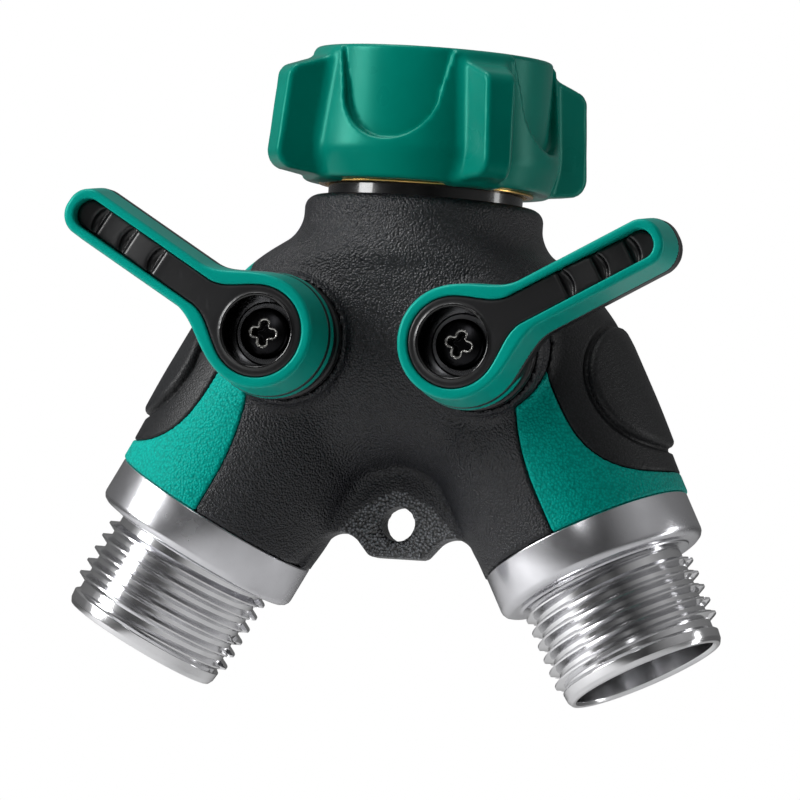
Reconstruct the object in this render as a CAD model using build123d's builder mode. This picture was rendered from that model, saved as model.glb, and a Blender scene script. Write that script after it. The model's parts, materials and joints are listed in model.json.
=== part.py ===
"""Two-way garden hose splitter: a Y body with two lever ball valves and a swivel inlet nut.

Frame, in millimetres: the origin is the middle of the inlet thread, on its axis. +Z runs up
that axis towards the tap, -Y is the side the levers are on, and X runs across the outlets.
"""
import os
from math import cos, hypot, radians, sin, tan

from build123d import *

os.makedirs("parts", exist_ok=True)

# ---- hose thread, 3/4 in nominal, 11.5 turns per inch ----
pitch = 25.4 / 11.5
male_crest_r = 13.45
male_root_r = 12.10
female_crest_r = 12.30
female_root_r = 13.62
crest_land = pitch / 8
root_land = pitch / 6

# ---- body ----
branch_z = -10.3            # where the outlet axes meet the inlet axis
leg_angle = 28.0            # each outlet axis from straight down
grip_leg_r = 17.2
grip_neck_r = 18.2
grip_top_z = -15.9
shoulder_z = -20.8          # lower edge of the collar-like neck of the grip
shoulder_slope = 35.0       # fall of the shoulder from the neck out to the legs
lobe_z = -39.3              # centre of the rounded belly between the legs
metal_wall = 3.2            # thickness of the rubber over the metal
metal_leg_r = grip_leg_r - metal_wall
metal_neck_r = 15.0
leg_end = 62.0              # where rubber and metal body end, along the leg
inlet_bore_r = 7.0
inlet_bore_bottom_z = -24.3
branch_bore_r = 5.6

# ---- neck that the nut turns on ----
collar_r = 14.85
collar_top_z = -13.9
neck_r = 9.5
neck_top_z = -7.3
running_gap = 0.08
ring_groove_r = 8.8
ring_z = -10.2
ring_thick = 1.0
ring_r = 11.0
washer_r = 12.6
washer_bore_r = 6.5
washer_thick = 3.0

# ---- swivel nut ----
nut_bottom_z = -13.7
nut_top_z = 6.6
nut_r = 20.2                # widest, where the lower skirt begins
nut_top_r = 18.65
nut_skirt_r = 18.6
nut_skirt_z = -9.4
nut_rim_fillet = 1.2
nut_wings = 4
nut_turn = 39.5             # direction of the first wing about +Z
wing_top_r = 25.0
wing_bottom_r = 26.3
wing_tip_width = 4.2
wing_root_width = 8.0
wing_bottom_z = -12.5
wing_root_bottom_z = -13.5
wing_top_z = 2.65
wing_root_top_z = 5.8
wing_top_corner = 1.2
wing_bottom_corner = 2.8
scallop_half = 8.8
scallop_floor_r = 18.0
scallop_bottom_z = -7.7
insert_r = 15.3
insert_bottom_z = -13.6
insert_top_z = 4.9
insert_flange_top_z = -10.5
relief_r = 13.9
thread_in_turns = 4
relief_top_z = -4.4
mouth_chamfer = 0.8

# ---- ball valve, distances along the leg ----
valve_s = 32.5
ball_r = 8.5
ball_bore_r = 5.25
seat_gap = 0.06
chamber_r = 9.6
seat_near = 5.2
seat_far = 9.4
seat_bore_r = 5.6
slot_width = 3.2
slot_floor = 5.8

# ---- valve stem and gland, heights above the valve centre towards the lever ----
stem_r = 3.95
stem_bore_r = 4.0
tang_width = 3.0
tang_length = 6.6
flange_r = 5.5
flange_low = 12.3
flange_high = 14.3
gland_seat = 12.0
gland_r = 7.0
gland_low = 14.6
boss_high = 20.0
boss_r = 9.2
grip_boss_r = 10.3
cap_r = 9.7
cap_high = 24.0
square_side = 5.6
square_low = 24.3
stem_high = 27.6
stem_seal_heights = (16.6, 19.6)
seal_section_r = 0.75

# ---- lever ----
hub_low = 24.5
arm_low = 25.4
lever_high = 35.0
lever_tip = 36.4            # hub centre to the lever's end
lever_corner = 3.4          # corner radius of the lever's end
lever_root_fillet = 4.5     # hollow between hub and arm
hub_base_r = 9.4
arm_base_half = 4.35
plate_thick = 2.4
draft = 6.0
inlay_hub_r = 7.0
inlay_arm_half = 2.3
inlay_tip = 34.2
lever_lift = 2.4            # the arm stands this many degrees past square to the leg
inlay_corner = 2.2
inlay_root_fillet = 4.0
well_r = 5.35
well_floor = 28.0
notch_reaches = (20.0, 25.5, 30.6)
notch_width = 2.4
notch_depth = 1.2

# ---- lever screw ----
screw_washer_r = 4.6
screw_washer_thick = 0.8
screw_head_r = 3.7
screw_head_high = 2.3
screw_r = 2.0
screw_low = 22.2
cross_long = 4.2
cross_wide = 0.9
cross_deep = 1.3

# ---- outlet nipple ----
collar_start = leg_end
collar_end = 69.0
nipple_collar_r = 16.45
nipple_end = 85.2
shank_r = 12.0
mouth_bore_r = 11.2
throat_bore_r = 8.0
shank_seal_s = 51.0
shank_seal_section_r = 1.1
parting_width = 1.4
parting_r = 12.5

# ---- coloured panels and thumb pads let into the rubber ----
panel_inner_r = 15.6
panel_centre_s = 57.0
panel_half_length = 32.0
panel_depth = 18.4
pad_centre_s = 44.5
pad_half_length = 14.0
pad_half_width = 15.9
oval_centre_s = 45.0
oval_half_length = 10.3
oval_half_width = 12.4
oval_r = 18.1

# ---- hanging tab ----
tab_half_thick = 2.5
tab_hole_r = 2.9
tab_hole_z = -65.6
tab_bottom_z = -71.3
tab_bottom_half = 4.4
tab_side_z = -66.8
tab_side_half = 11.3
tab_top_z = -40.3
tab_eye_r = 7.2

SIDES = ((-1, "left"), (1, "right"))
beyond = 60.0               # longer than any cut needs


def leg_plane(side):
    """Workplane with Z down the outlet axis and X to the outside of the Y."""
    a = radians(leg_angle)
    down = (side * sin(a), 0, -cos(a))
    return Plane(origin=(0, 0, branch_z), x_dir=(side * cos(a), 0, sin(a)), z_dir=down)


def valve_plane(side):
    """Workplane at the valve centre with Z towards the lever side and X out from the leg."""
    a = radians(leg_angle)
    centre = (side * valve_s * sin(a), 0, branch_z - valve_s * cos(a))
    return Plane(origin=centre, x_dir=(side * cos(a), 0, sin(a)), z_dir=(0, -1, 0))


def lever_plane(side):
    """Workplane at the valve centre with Z towards the lever side and X along the lever."""
    a = radians(leg_angle + lever_lift)
    return Plane(origin=valve_plane(side).origin, x_dir=(side * cos(a), 0, sin(a)), z_dir=(0, -1, 0))


def side_plane(side, normal_gap=0.0):
    """Workplane facing out from the leg's outer side, X along the leg."""
    a = radians(leg_angle)
    out = Vector(side * cos(a), 0, sin(a))
    down = (side * sin(a), 0, -cos(a))
    return Plane(origin=Vector(0, 0, branch_z) + out * normal_gap, x_dir=down, z_dir=out)


def y_solid(leg_r, neck_r_, neck_low_z, belly_z, boss_r_, boss_top):
    """Solid Y: neck, belly, two legs and two valve bosses, cut to the sloping shoulder."""
    reach = 60.0
    drop = reach * tan(radians(shoulder_slope))
    with BuildPart() as solid:
        for side, _ in SIDES:
            with BuildSketch(leg_plane(side)):
                Circle(leg_r)
            extrude(amount=leg_end)
        with BuildSketch(Plane.XY.offset(grip_top_z)):
            Circle(leg_r)
        extrude(amount=belly_z - grip_top_z)
        with Locations((0, 0, belly_z)):
            Sphere(leg_r)
        with BuildSketch(Plane.XZ):
            with BuildLine():
                Polyline(
                    (0, grip_top_z),
                    (neck_r_, grip_top_z),
                    (neck_r_, neck_low_z),
                    (neck_r_ + reach, neck_low_z - drop),
                    (neck_r_ + reach, -120),
                    (0, -120),
                    close=True,
                )
            make_face()
        revolve(axis=Axis.Z, mode=Mode.INTERSECT)
        with BuildSketch(Plane.XY.offset(neck_low_z)):
            Circle(neck_r_)
        extrude(amount=grip_top_z - neck_low_z)
        for side, _ in SIDES:
            with BuildSketch(valve_plane(side)):
                Circle(boss_r_)
            extrude(amount=boss_top)
    return solid.part


def tab_solid():
    """Web between the legs that carries the hanging eye."""
    with BuildPart() as tab:
        with BuildSketch(Plane.XZ.offset(-tab_half_thick)):
            with BuildLine():
                Polyline(
                    (-tab_bottom_half, tab_bottom_z),
                    (tab_bottom_half, tab_bottom_z),
                    (tab_eye_r, tab_bottom_z + 1.4),
                    (tab_side_half, tab_side_z),
                    (2.0, tab_top_z),
                    (-2.0, tab_top_z),
                    (-tab_side_half, tab_side_z),
                    (-tab_eye_r, tab_bottom_z + 1.4),
                    close=True,
                )
            make_face()
        extrude(amount=2 * tab_half_thick)
    return tab.part


def leg_shell(side, inner, outer, start, end):
    """Tube round one leg between two radii."""
    with BuildPart() as shell:
        with BuildSketch(leg_plane(side).offset(start)):
            Circle(outer)
            Circle(inner, mode=Mode.SUBTRACT)
        extrude(amount=end - start)
    return shell.part


def oval_prism(side, centre_s, half_length, half_width):
    """Elliptical prism through the outer side of a leg."""
    with BuildPart() as prism:
        with BuildSketch(side_plane(side, 2.0)):
            with Locations((centre_s, 0)):
                Ellipse(half_length, half_width)
        extrude(amount=24)
    return prism.part


def boss_clearance(side):
    """Space of the rubber boss round a valve stem."""
    with BuildPart() as clearance:
        with BuildSketch(valve_plane(side)):
            Circle(grip_boss_r)
        extrude(amount=beyond)
    return clearance.part


def pad_solid(side):
    """Thumb pad: an oval let into the leg, with a raised oval on it."""
    with BuildPart() as pad:
        add(leg_shell(side, panel_inner_r, grip_leg_r, 10, leg_end))
        add(oval_prism(side, pad_centre_s, pad_half_length, pad_half_width), mode=Mode.INTERSECT)
        add(grip_blank, mode=Mode.INTERSECT)
        with BuildPart(mode=Mode.PRIVATE) as raised:
            add(leg_shell(side, grip_leg_r - 0.2, oval_r, 10, leg_end))
            add(oval_prism(side, oval_centre_s, oval_half_length, oval_half_width), mode=Mode.INTERSECT)
        add(raised.part)
        add(boss_clearance(side), mode=Mode.SUBTRACT)
    return pad.part


def panel_blank(side):
    """Coloured panel before the thumb pad is let into it."""
    with BuildPart() as blank:
        add(leg_shell(side, panel_inner_r, grip_leg_r, 10, leg_end))
        with BuildPart(mode=Mode.PRIVATE) as limit:
            with BuildSketch(valve_plane(side).offset(-25)):
                with Locations((grip_leg_r, -side * (panel_centre_s - valve_s))):
                    Ellipse(panel_depth, panel_half_length)
            extrude(amount=50)
        add(limit.part, mode=Mode.INTERSECT)
        add(grip_blank, mode=Mode.INTERSECT)
        add(boss_clearance(side), mode=Mode.SUBTRACT)
    return blank.part


def ring_thread(plane, start, count, root_r, crest_r):
    """Row of thread ridges, one turn each; an inward thread has its crests at the smaller radius."""
    flank = (pitch - crest_land - root_land) / 2
    with BuildPart() as ridges:
        with BuildSketch(Plane.XZ):
            for turn in range(count):
                low = start + turn * pitch
                with BuildLine():
                    Polyline(
                        (root_r, low),
                        (crest_r, low + flank),
                        (crest_r, low + flank + crest_land),
                        (root_r, low + 2 * flank + crest_land),
                        close=True,
                    )
                make_face()
        revolve(axis=Axis.Z)
    return plane.location * ridges.part


def lever_outline(hub_r, arm_half, tip, corner, root_fillet):
    """Lever seen from above: hub circle, straight arm with a rounded end, hollowed where they meet."""
    with BuildSketch() as outline:
        Circle(hub_r)
        with Locations((tip / 2, 0)):
            RectangleRounded(tip, 2 * arm_half, radius=corner)
        roots = [v for v in outline.vertices() if abs(hypot(v.X, v.Y) - hub_r) < 0.01 and v.X > 0]
        fillet(roots, radius=root_fillet)
    return outline.sketch


# ---- metal Y body ----
grip_blank = y_solid(grip_leg_r, grip_neck_r, shoulder_z, lobe_z, grip_boss_r, boss_high - 0.3)
metal_blank = y_solid(metal_leg_r, metal_neck_r, shoulder_z, lobe_z + metal_wall, boss_r, boss_high)
with BuildPart() as body_casting:
    add(metal_blank)
    with BuildSketch(Plane.XY.offset(grip_top_z)):
        Circle(collar_r)
    extrude(amount=collar_top_z - grip_top_z)
    with BuildSketch(Plane.XY.offset(collar_top_z)):
        Circle(neck_r)
    extrude(amount=neck_top_z - collar_top_z)
    with BuildSketch(Plane.XY.offset(ring_z - 0.05)):
        Circle(neck_r + 1)
        Circle(ring_groove_r, mode=Mode.SUBTRACT)
    extrude(amount=ring_thick + 0.1, mode=Mode.SUBTRACT)
    with BuildSketch(Plane.XY.offset(neck_top_z)):
        Circle(inlet_bore_r)
    extrude(amount=inlet_bore_bottom_z - neck_top_z, mode=Mode.SUBTRACT)
    with Locations((0, 0, inlet_bore_bottom_z)):
        Sphere(inlet_bore_r, mode=Mode.SUBTRACT)
    for side, _ in SIDES:
        with BuildSketch(leg_plane(side).offset(14)):
            Circle(branch_bore_r)
        extrude(amount=valve_s, mode=Mode.SUBTRACT)
        with BuildSketch(leg_plane(side).offset(valve_s - seat_far)):
            Circle(chamber_r)
        extrude(amount=2 * seat_far, mode=Mode.SUBTRACT)
        with BuildSketch(leg_plane(side).offset(valve_s + seat_far)):
            Circle(shank_r)
        extrude(amount=leg_end, mode=Mode.SUBTRACT)
        with BuildSketch(valve_plane(side)):
            Circle(stem_bore_r)
        extrude(amount=boss_high + 1, mode=Mode.SUBTRACT)
        with BuildSketch(valve_plane(side).offset(gland_seat)):
            Circle(gland_r)
        extrude(amount=boss_high, mode=Mode.SUBTRACT)
body_casting.part.label = "body_casting"
export_step(body_casting.part, "parts/body_casting.step")

# ---- rubber grip moulded over the metal, with the hanging tab ----
with BuildPart() as body_grip:
    add(grip_blank)
    add(tab_solid())
    for face_y in (-1, 1):
        with BuildSketch(Plane.XZ.offset(-face_y * tab_half_thick)):
            with Locations((0, tab_hole_z)):
                Circle(tab_eye_r)
        extrude(amount=-face_y * 20, mode=Mode.SUBTRACT)
    with BuildSketch(Plane.XZ.offset(-10)):
        with Locations((0, tab_hole_z)):
            Circle(tab_hole_r)
    extrude(amount=20, mode=Mode.SUBTRACT)
    add(metal_blank, mode=Mode.SUBTRACT)
    for side, _ in SIDES:
        add(panel_blank(side), mode=Mode.SUBTRACT)
        add(pad_solid(side), mode=Mode.SUBTRACT)
    top_rim = body_grip.edges().filter_by(GeomType.CIRCLE)
    top_rim = [e for e in top_rim if abs(e.radius - grip_neck_r) < 0.01]
    top_rim = [e for e in top_rim if abs(e.center().Z - grip_top_z) < 0.01]
    fillet(top_rim, radius=2.0)
body_grip.part.label = "body_grip"
export_step(body_grip.part, "parts/body_grip.step")

# ---- inlet: retaining ring and hose washer ----
with BuildPart() as retaining_ring:
    with BuildSketch(Plane.XY.offset(ring_z)):
        Circle(ring_r)
        Circle(ring_groove_r, mode=Mode.SUBTRACT)
        with Locations((ring_r, 0)):
            Rectangle(8, 3.0, mode=Mode.SUBTRACT)
    extrude(amount=ring_thick)
retaining_ring.part.label = "retaining_ring"
export_step(retaining_ring.part, "parts/retaining_ring.step")

with BuildPart() as inlet_washer:
    with BuildSketch(Plane.XY.offset(neck_top_z)):
        Circle(washer_r)
        Circle(washer_bore_r, mode=Mode.SUBTRACT)
    extrude(amount=washer_thick)
inlet_washer.part.label = "inlet_washer"
export_step(inlet_washer.part, "parts/inlet_washer.step")

# ---- swivel nut: brass insert with the inlet thread ----
with BuildPart() as nut_insert:
    with BuildSketch(Plane.XY.offset(insert_bottom_z)):
        Circle(insert_r)
    extrude(amount=insert_top_z - insert_bottom_z)
    with BuildSketch(Plane.XY.offset(insert_bottom_z)):
        Circle(neck_r + running_gap)
    extrude(amount=beyond, mode=Mode.SUBTRACT)
    with BuildSketch(Plane.XY.offset(insert_flange_top_z)):
        Circle(relief_r)
    extrude(amount=relief_top_z - insert_flange_top_z, mode=Mode.SUBTRACT)
    with BuildSketch(Plane.XY.offset(relief_top_z)):
        Circle(female_root_r)
    extrude(amount=beyond, mode=Mode.SUBTRACT)
    mouth = nut_insert.edges().filter_by(GeomType.CIRCLE).group_by(Axis.Z)[-1].sort_by(SortBy.RADIUS)[0]
    chamfer(mouth, length=mouth_chamfer)
    thread_low = -thread_in_turns * pitch / 2 + root_land / 2
    add(ring_thread(Plane.XY, thread_low, thread_in_turns, female_root_r + 0.05, female_crest_r))
nut_insert.part.label = "nut_insert"
export_step(nut_insert.part, "parts/nut_insert.step")

# ---- swivel nut: plastic cover with wings and thumb scallops ----
with BuildPart() as nut_cover:
    with BuildSketch(Plane.XZ):
        with BuildLine():
            Polyline(
                (0, nut_bottom_z),
                (nut_skirt_r, nut_bottom_z),
                (nut_r, nut_skirt_z),
                (nut_top_r, nut_top_z),
                (0, nut_top_z),
                close=True,
            )
        make_face()
    revolve(axis=Axis.Z)
    fillet(nut_cover.edges().filter_by(GeomType.CIRCLE).sort_by(Axis.Z)[-1], radius=nut_rim_fillet)
    for wing in range(nut_wings):
        turn = nut_turn + wing * 360 / nut_wings
        level = Plane.XY.rotated((0, 0, turn))
        upright = Plane(origin=(0, 0, 0), x_dir=level.x_dir, z_dir=-level.y_dir)
        with BuildPart(mode=Mode.PRIVATE) as blade:
            with BuildSketch(upright.offset(-wing_root_width)):
                with BuildLine():
                    Polyline(
                        (insert_r + 0.6, wing_root_bottom_z),
                        (wing_bottom_r, wing_bottom_z),
                        (wing_top_r, wing_top_z),
                        (insert_r + 0.6, wing_root_top_z),
                        close=True,
                    )
                make_face()
            extrude(amount=2 * wing_root_width)
            tips = blade.edges().filter_by(Axis((0, 0, 0), level.y_dir)).sort_by_distance((0, 0, 0))[-2:]
            tips = tips.sort_by(Axis.Z)
            fillet(tips[0], radius=wing_bottom_corner)
            tips = blade.edges().filter_by(Axis((0, 0, 0), level.y_dir)).sort_by(Axis.Z)
            tips = ShapeList([e for e in tips if hypot(e.center().X, e.center().Y) > wing_top_r - 0.1])
            fillet(tips[-1], radius=wing_top_corner)
            with BuildSketch(level.offset(wing_bottom_z - 1)):
                with BuildLine():
                    Polyline(
                        (insert_r, -wing_root_width / 2),
                        (wing_bottom_r, -wing_tip_width / 2),
                        (wing_bottom_r, wing_tip_width / 2),
                        (insert_r, wing_root_width / 2),
                        close=True,
                    )
                make_face()
            extrude(amount=beyond, mode=Mode.INTERSECT)
        add(blade.part)
        facing = Vector(cos(radians(turn + 45)), sin(radians(turn + 45)), 0)
        across = Vector(-facing.Y, facing.X, 0)
        with BuildPart(mode=Mode.PRIVATE) as scallop:
            with BuildSketch(Plane(origin=facing * insert_r, x_dir=across, z_dir=facing)):
                with Locations((0, scallop_bottom_z + scallop_half)):
                    Circle(scallop_half)
                    tall = nut_top_z - nut_bottom_z
                    Rectangle(2 * scallop_half, tall, align=(Align.CENTER, Align.MIN))
            extrude(amount=nut_r - insert_r + 1)
            with BuildSketch(Plane.XY.offset(nut_bottom_z)):
                Circle(scallop_floor_r)
            extrude(amount=beyond, mode=Mode.SUBTRACT)
        add(scallop.part, mode=Mode.SUBTRACT)
    with BuildSketch(Plane.XY.offset(nut_bottom_z - 1)):
        Circle(insert_r)
    extrude(amount=nut_top_z - nut_bottom_z + 2, mode=Mode.SUBTRACT)
nut_cover.part.label = "nut_cover"
export_step(nut_cover.part, "parts/nut_cover.step")

base_outline = lever_outline(hub_base_r, arm_base_half, lever_tip, lever_corner, lever_root_fillet)
inlay_outline = lever_outline(inlay_hub_r, inlay_arm_half, inlay_tip, inlay_corner, inlay_root_fillet)

for side, tag in SIDES:
    leg = leg_plane(side)
    valve = valve_plane(side)
    lever = lever_plane(side)

    # ---- coloured panel and thumb pad ----
    with BuildPart() as grip_panel:
        add(panel_blank(side))
        add(pad_solid(side), mode=Mode.SUBTRACT)
    grip_panel.part.label = f"grip_panel_{tag}"
    export_step(grip_panel.part, f"parts/grip_panel_{tag}.step")

    with BuildPart() as thumb_pad:
        add(pad_solid(side))
    thumb_pad.part.label = f"thumb_pad_{tag}"
    export_step(thumb_pad.part, f"parts/thumb_pad_{tag}.step")

    # ---- ball, closed at rest, with its slot for the stem ----
    with BuildPart(valve) as valve_ball:
        Sphere(ball_r)
        Cylinder(ball_bore_r, 3 * ball_r, rotation=(0, 90, 0), mode=Mode.SUBTRACT)
        with Locations((0, 0, slot_floor + ball_r / 2)):
            Box(3 * ball_r, slot_width, ball_r, mode=Mode.SUBTRACT)
    valve_ball.part.label = f"valve_ball_{tag}"
    export_step(valve_ball.part, f"parts/valve_ball_{tag}.step")

    # ---- seats either side of the ball ----
    for name, direction in (("inner_seat", -1), ("outer_seat", 1)):
        with BuildPart() as seat:
            with BuildSketch(leg.offset(valve_s + direction * seat_near)):
                Circle(chamber_r)
                Circle(seat_bore_r, mode=Mode.SUBTRACT)
            extrude(amount=direction * (seat_far - seat_near))
            with Locations(leg.offset(valve_s).location):
                Sphere(ball_r + seat_gap, mode=Mode.SUBTRACT)
        seat.part.label = f"{name}_{tag}"
        export_step(seat.part, f"parts/{name}_{tag}.step")

    # ---- stem: tang, flange, sealed shaft and square drive ----
    with BuildPart(valve) as valve_stem:
        with BuildSketch(valve.offset(slot_floor + 0.1)):
            Rectangle(tang_length, tang_width)
        extrude(amount=4.0)
        with BuildSketch(valve.offset(9.0)):
            Circle(stem_r)
        extrude(amount=square_low - 9.0)
        with BuildSketch(valve.offset(flange_low)):
            Circle(flange_r)
        extrude(amount=flange_high - flange_low)
        for height in stem_seal_heights:
            with BuildSketch(valve.offset(height - seal_section_r)):
                Circle(stem_r + 1)
                Circle(stem_r - 2 * seal_section_r, mode=Mode.SUBTRACT)
            extrude(amount=2 * seal_section_r, mode=Mode.SUBTRACT)
        with BuildSketch(valve.offset(square_low)):
            Rectangle(square_side, square_side)
        extrude(amount=stem_high - square_low)
        with BuildSketch(valve.offset(screw_low - 1)):
            Circle(screw_r)
        extrude(amount=stem_high, mode=Mode.SUBTRACT)
    valve_stem.part.label = f"valve_stem_{tag}"
    export_step(valve_stem.part, f"parts/valve_stem_{tag}.step")

    with BuildPart() as stem_seals:
        for height in stem_seal_heights:
            with Locations(valve.offset(height).location):
                Torus(stem_r - seal_section_r + 0.02, seal_section_r)
    stem_seals.part.label = f"stem_seals_{tag}"
    export_step(stem_seals.part, f"parts/stem_seals_{tag}.step")

    # ---- gland that holds the stem in ----
    with BuildPart() as gland:
        with BuildSketch(valve.offset(gland_low)):
            Circle(gland_r)
        extrude(amount=boss_high - gland_low)
        with BuildSketch(valve.offset(boss_high)):
            Circle(cap_r)
        extrude(amount=cap_high - boss_high)
        fillet(gland.edges().filter_by(GeomType.CIRCLE).sort_by(Axis.Y)[0], radius=0.8)
        with BuildSketch(valve.offset(gland_low)):
            Circle(stem_bore_r + 0.02)
        extrude(amount=cap_high, mode=Mode.SUBTRACT)
    gland.part.label = f"gland_{tag}"
    export_step(gland.part, f"parts/gland_{tag}.step")

    # ---- lever: black core with base plate, inlay, well and notches ----
    with BuildPart() as lever_core:
        with BuildSketch(valve.offset(hub_low)):
            Circle(hub_base_r + 0.3)
        extrude(amount=arm_low - hub_low)
        with BuildSketch(lever.offset(arm_low)):
            add(base_outline)
        extrude(amount=plate_thick)
        with BuildSketch(lever.offset(arm_low + plate_thick)):
            add(inlay_outline)
        extrude(amount=lever_high - arm_low - plate_thick)
        with BuildSketch(valve.offset(well_floor)):
            Circle(well_r)
        extrude(amount=lever_high, mode=Mode.SUBTRACT)
        with BuildSketch(valve.offset(hub_low - 1)):
            Rectangle(square_side + 0.1, square_side + 0.1)
        extrude(amount=lever_high, mode=Mode.SUBTRACT)
        for reach in notch_reaches:
            with BuildSketch(lever.offset(lever_high - notch_depth)):
                with Locations((reach, 0)):
                    SlotOverall(2 * inlay_arm_half - 0.8, notch_width, rotation=90)
            extrude(amount=notch_depth + 1, mode=Mode.SUBTRACT)
    lever_core.part.label = f"lever_core_{tag}"
    export_step(lever_core.part, f"parts/lever_core_{tag}.step")

    # ---- lever: coloured sleeve round the inlay ----
    with BuildPart() as lever_sleeve:
        with BuildSketch(lever.offset(arm_low + plate_thick)):
            add(base_outline)
        extrude(amount=lever_high - arm_low - plate_thick, taper=draft)
        with BuildSketch(lever.offset(arm_low + plate_thick)):
            add(inlay_outline)
        extrude(amount=lever_high, mode=Mode.SUBTRACT)
    lever_sleeve.part.label = f"lever_sleeve_{tag}"
    export_step(lever_sleeve.part, f"parts/lever_sleeve_{tag}.step")

    # ---- lever screw and its washer ----
    with BuildPart() as lever_washer:
        with BuildSketch(valve.offset(well_floor)):
            Circle(screw_washer_r)
            Circle(screw_r + 0.15, mode=Mode.SUBTRACT)
        extrude(amount=screw_washer_thick)
    lever_washer.part.label = f"lever_washer_{tag}"
    export_step(lever_washer.part, f"parts/lever_washer_{tag}.step")

    head_low = well_floor + screw_washer_thick
    with BuildPart() as lever_screw:
        with BuildSketch(valve.offset(screw_low)):
            Circle(screw_r)
        extrude(amount=head_low - screw_low)
        with BuildSketch(valve.offset(head_low)):
            Circle(screw_head_r)
        extrude(amount=screw_head_high)
        fillet(lever_screw.edges().filter_by(GeomType.CIRCLE).sort_by(Axis.Y)[0], radius=1.2)
        with BuildSketch(valve.offset(head_low + screw_head_high - cross_deep)):
            Rectangle(cross_long, cross_wide)
            Rectangle(cross_wide, cross_long)
        extrude(amount=cross_deep + 1, mode=Mode.SUBTRACT)
    lever_screw.part.label = f"lever_screw_{tag}"
    export_step(lever_screw.part, f"parts/lever_screw_{tag}.step")

    # ---- outlet nipple: shank, collar and hose thread ----
    thread_start = collar_end + 0.5
    turns = int((nipple_end - 1.6 - thread_start) / pitch)
    with BuildPart() as outlet_nipple:
        with BuildSketch(leg.offset(valve_s + seat_far)):
            Circle(shank_r)
        extrude(amount=nipple_end - 1.0 - valve_s - seat_far)
        with BuildSketch(leg.offset(collar_start)):
            Circle(nipple_collar_r)
        extrude(amount=collar_end - collar_start)
        collar_low = outlet_nipple.edges().filter_by(GeomType.CIRCLE)
        collar_low = [e for e in collar_low if abs(e.radius - nipple_collar_r) < 0.01]
        collar_low = ShapeList(collar_low).sort_by_distance(leg.origin)[-1]
        fillet(collar_low, radius=1.2)
        with BuildSketch(leg.offset(collar_end)):
            Circle(male_root_r)
        extrude(amount=nipple_end - collar_end)
        add(ring_thread(leg, thread_start, turns, male_root_r - 0.05, male_crest_r))
        for half in (-1, 1):
            with BuildSketch(leg.offset(collar_end)):
                with Locations((half * (parting_r + 2), 0)):
                    Rectangle(4, parting_width)
            extrude(amount=nipple_end, mode=Mode.SUBTRACT)
        with BuildSketch(leg.offset(valve_s)):
            Circle(throat_bore_r)
        extrude(amount=nipple_end, mode=Mode.SUBTRACT)
        with BuildSketch(leg.offset(collar_start - 2)):
            Circle(mouth_bore_r)
        extrude(amount=nipple_end, mode=Mode.SUBTRACT)
        with BuildSketch(leg.offset(shank_seal_s - shank_seal_section_r)):
            Circle(shank_r + 1)
            Circle(shank_r - 2 * shank_seal_section_r, mode=Mode.SUBTRACT)
        extrude(amount=2 * shank_seal_section_r, mode=Mode.SUBTRACT)
    outlet_nipple.part.label = f"outlet_nipple_{tag}"
    export_step(outlet_nipple.part, f"parts/outlet_nipple_{tag}.step")

    with BuildPart() as nipple_seal:
        with Locations(leg.offset(shank_seal_s).location):
            Torus(shank_r - shank_seal_section_r, shank_seal_section_r)
    nipple_seal.part.label = f"nipple_seal_{tag}"
    export_step(nipple_seal.part, f"parts/nipple_seal_{tag}.step")
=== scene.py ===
"""Looks of a two-way garden hose splitter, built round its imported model.

Sizes are in millimetres in the part's own frame: the origin is the middle of the inlet
thread, +Z runs up towards the tap, -Y is the lever side and X runs across the outlets.
Every mesh is scaled to metres when it is made.
"""

import json
import logging
import math
from dataclasses import dataclass
from enum import Enum
from typing import Callable, Sequence

import bpy
import numpy as np
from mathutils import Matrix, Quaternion, Vector

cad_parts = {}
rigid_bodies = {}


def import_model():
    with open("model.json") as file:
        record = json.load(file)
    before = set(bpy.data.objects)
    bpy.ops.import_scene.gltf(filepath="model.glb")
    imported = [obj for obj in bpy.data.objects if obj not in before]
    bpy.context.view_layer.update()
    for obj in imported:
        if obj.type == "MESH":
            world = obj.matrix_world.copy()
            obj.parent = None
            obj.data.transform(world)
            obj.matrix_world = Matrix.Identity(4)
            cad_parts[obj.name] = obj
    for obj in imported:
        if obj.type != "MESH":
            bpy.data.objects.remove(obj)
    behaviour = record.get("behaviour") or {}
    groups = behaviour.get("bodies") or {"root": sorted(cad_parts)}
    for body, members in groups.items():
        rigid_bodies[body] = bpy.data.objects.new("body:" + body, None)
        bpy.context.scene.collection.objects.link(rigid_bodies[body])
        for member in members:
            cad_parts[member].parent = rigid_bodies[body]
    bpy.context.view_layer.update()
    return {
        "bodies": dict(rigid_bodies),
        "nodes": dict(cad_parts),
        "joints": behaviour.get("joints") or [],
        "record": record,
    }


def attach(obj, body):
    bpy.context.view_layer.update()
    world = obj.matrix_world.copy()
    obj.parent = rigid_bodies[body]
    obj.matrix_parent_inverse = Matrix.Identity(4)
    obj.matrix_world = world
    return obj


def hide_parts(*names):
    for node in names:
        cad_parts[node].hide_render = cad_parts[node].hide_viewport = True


log = logging.getLogger("hose_splitter")
Array = np.ndarray
Tree = bpy.types.NodeTree
Socket = bpy.types.NodeSocket
Field = Callable[[Array], Array]
MM = 0.001


class Side(Enum):
    """The two legs of the Y, seen from the lever side."""

    LEFT = -1
    RIGHT = 1

    @property
    def tag(self) -> str:
        """Ending of the node names on this side."""
        return self.name.lower()


# ---------------------------------------------------------------- colours and nodes


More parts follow.
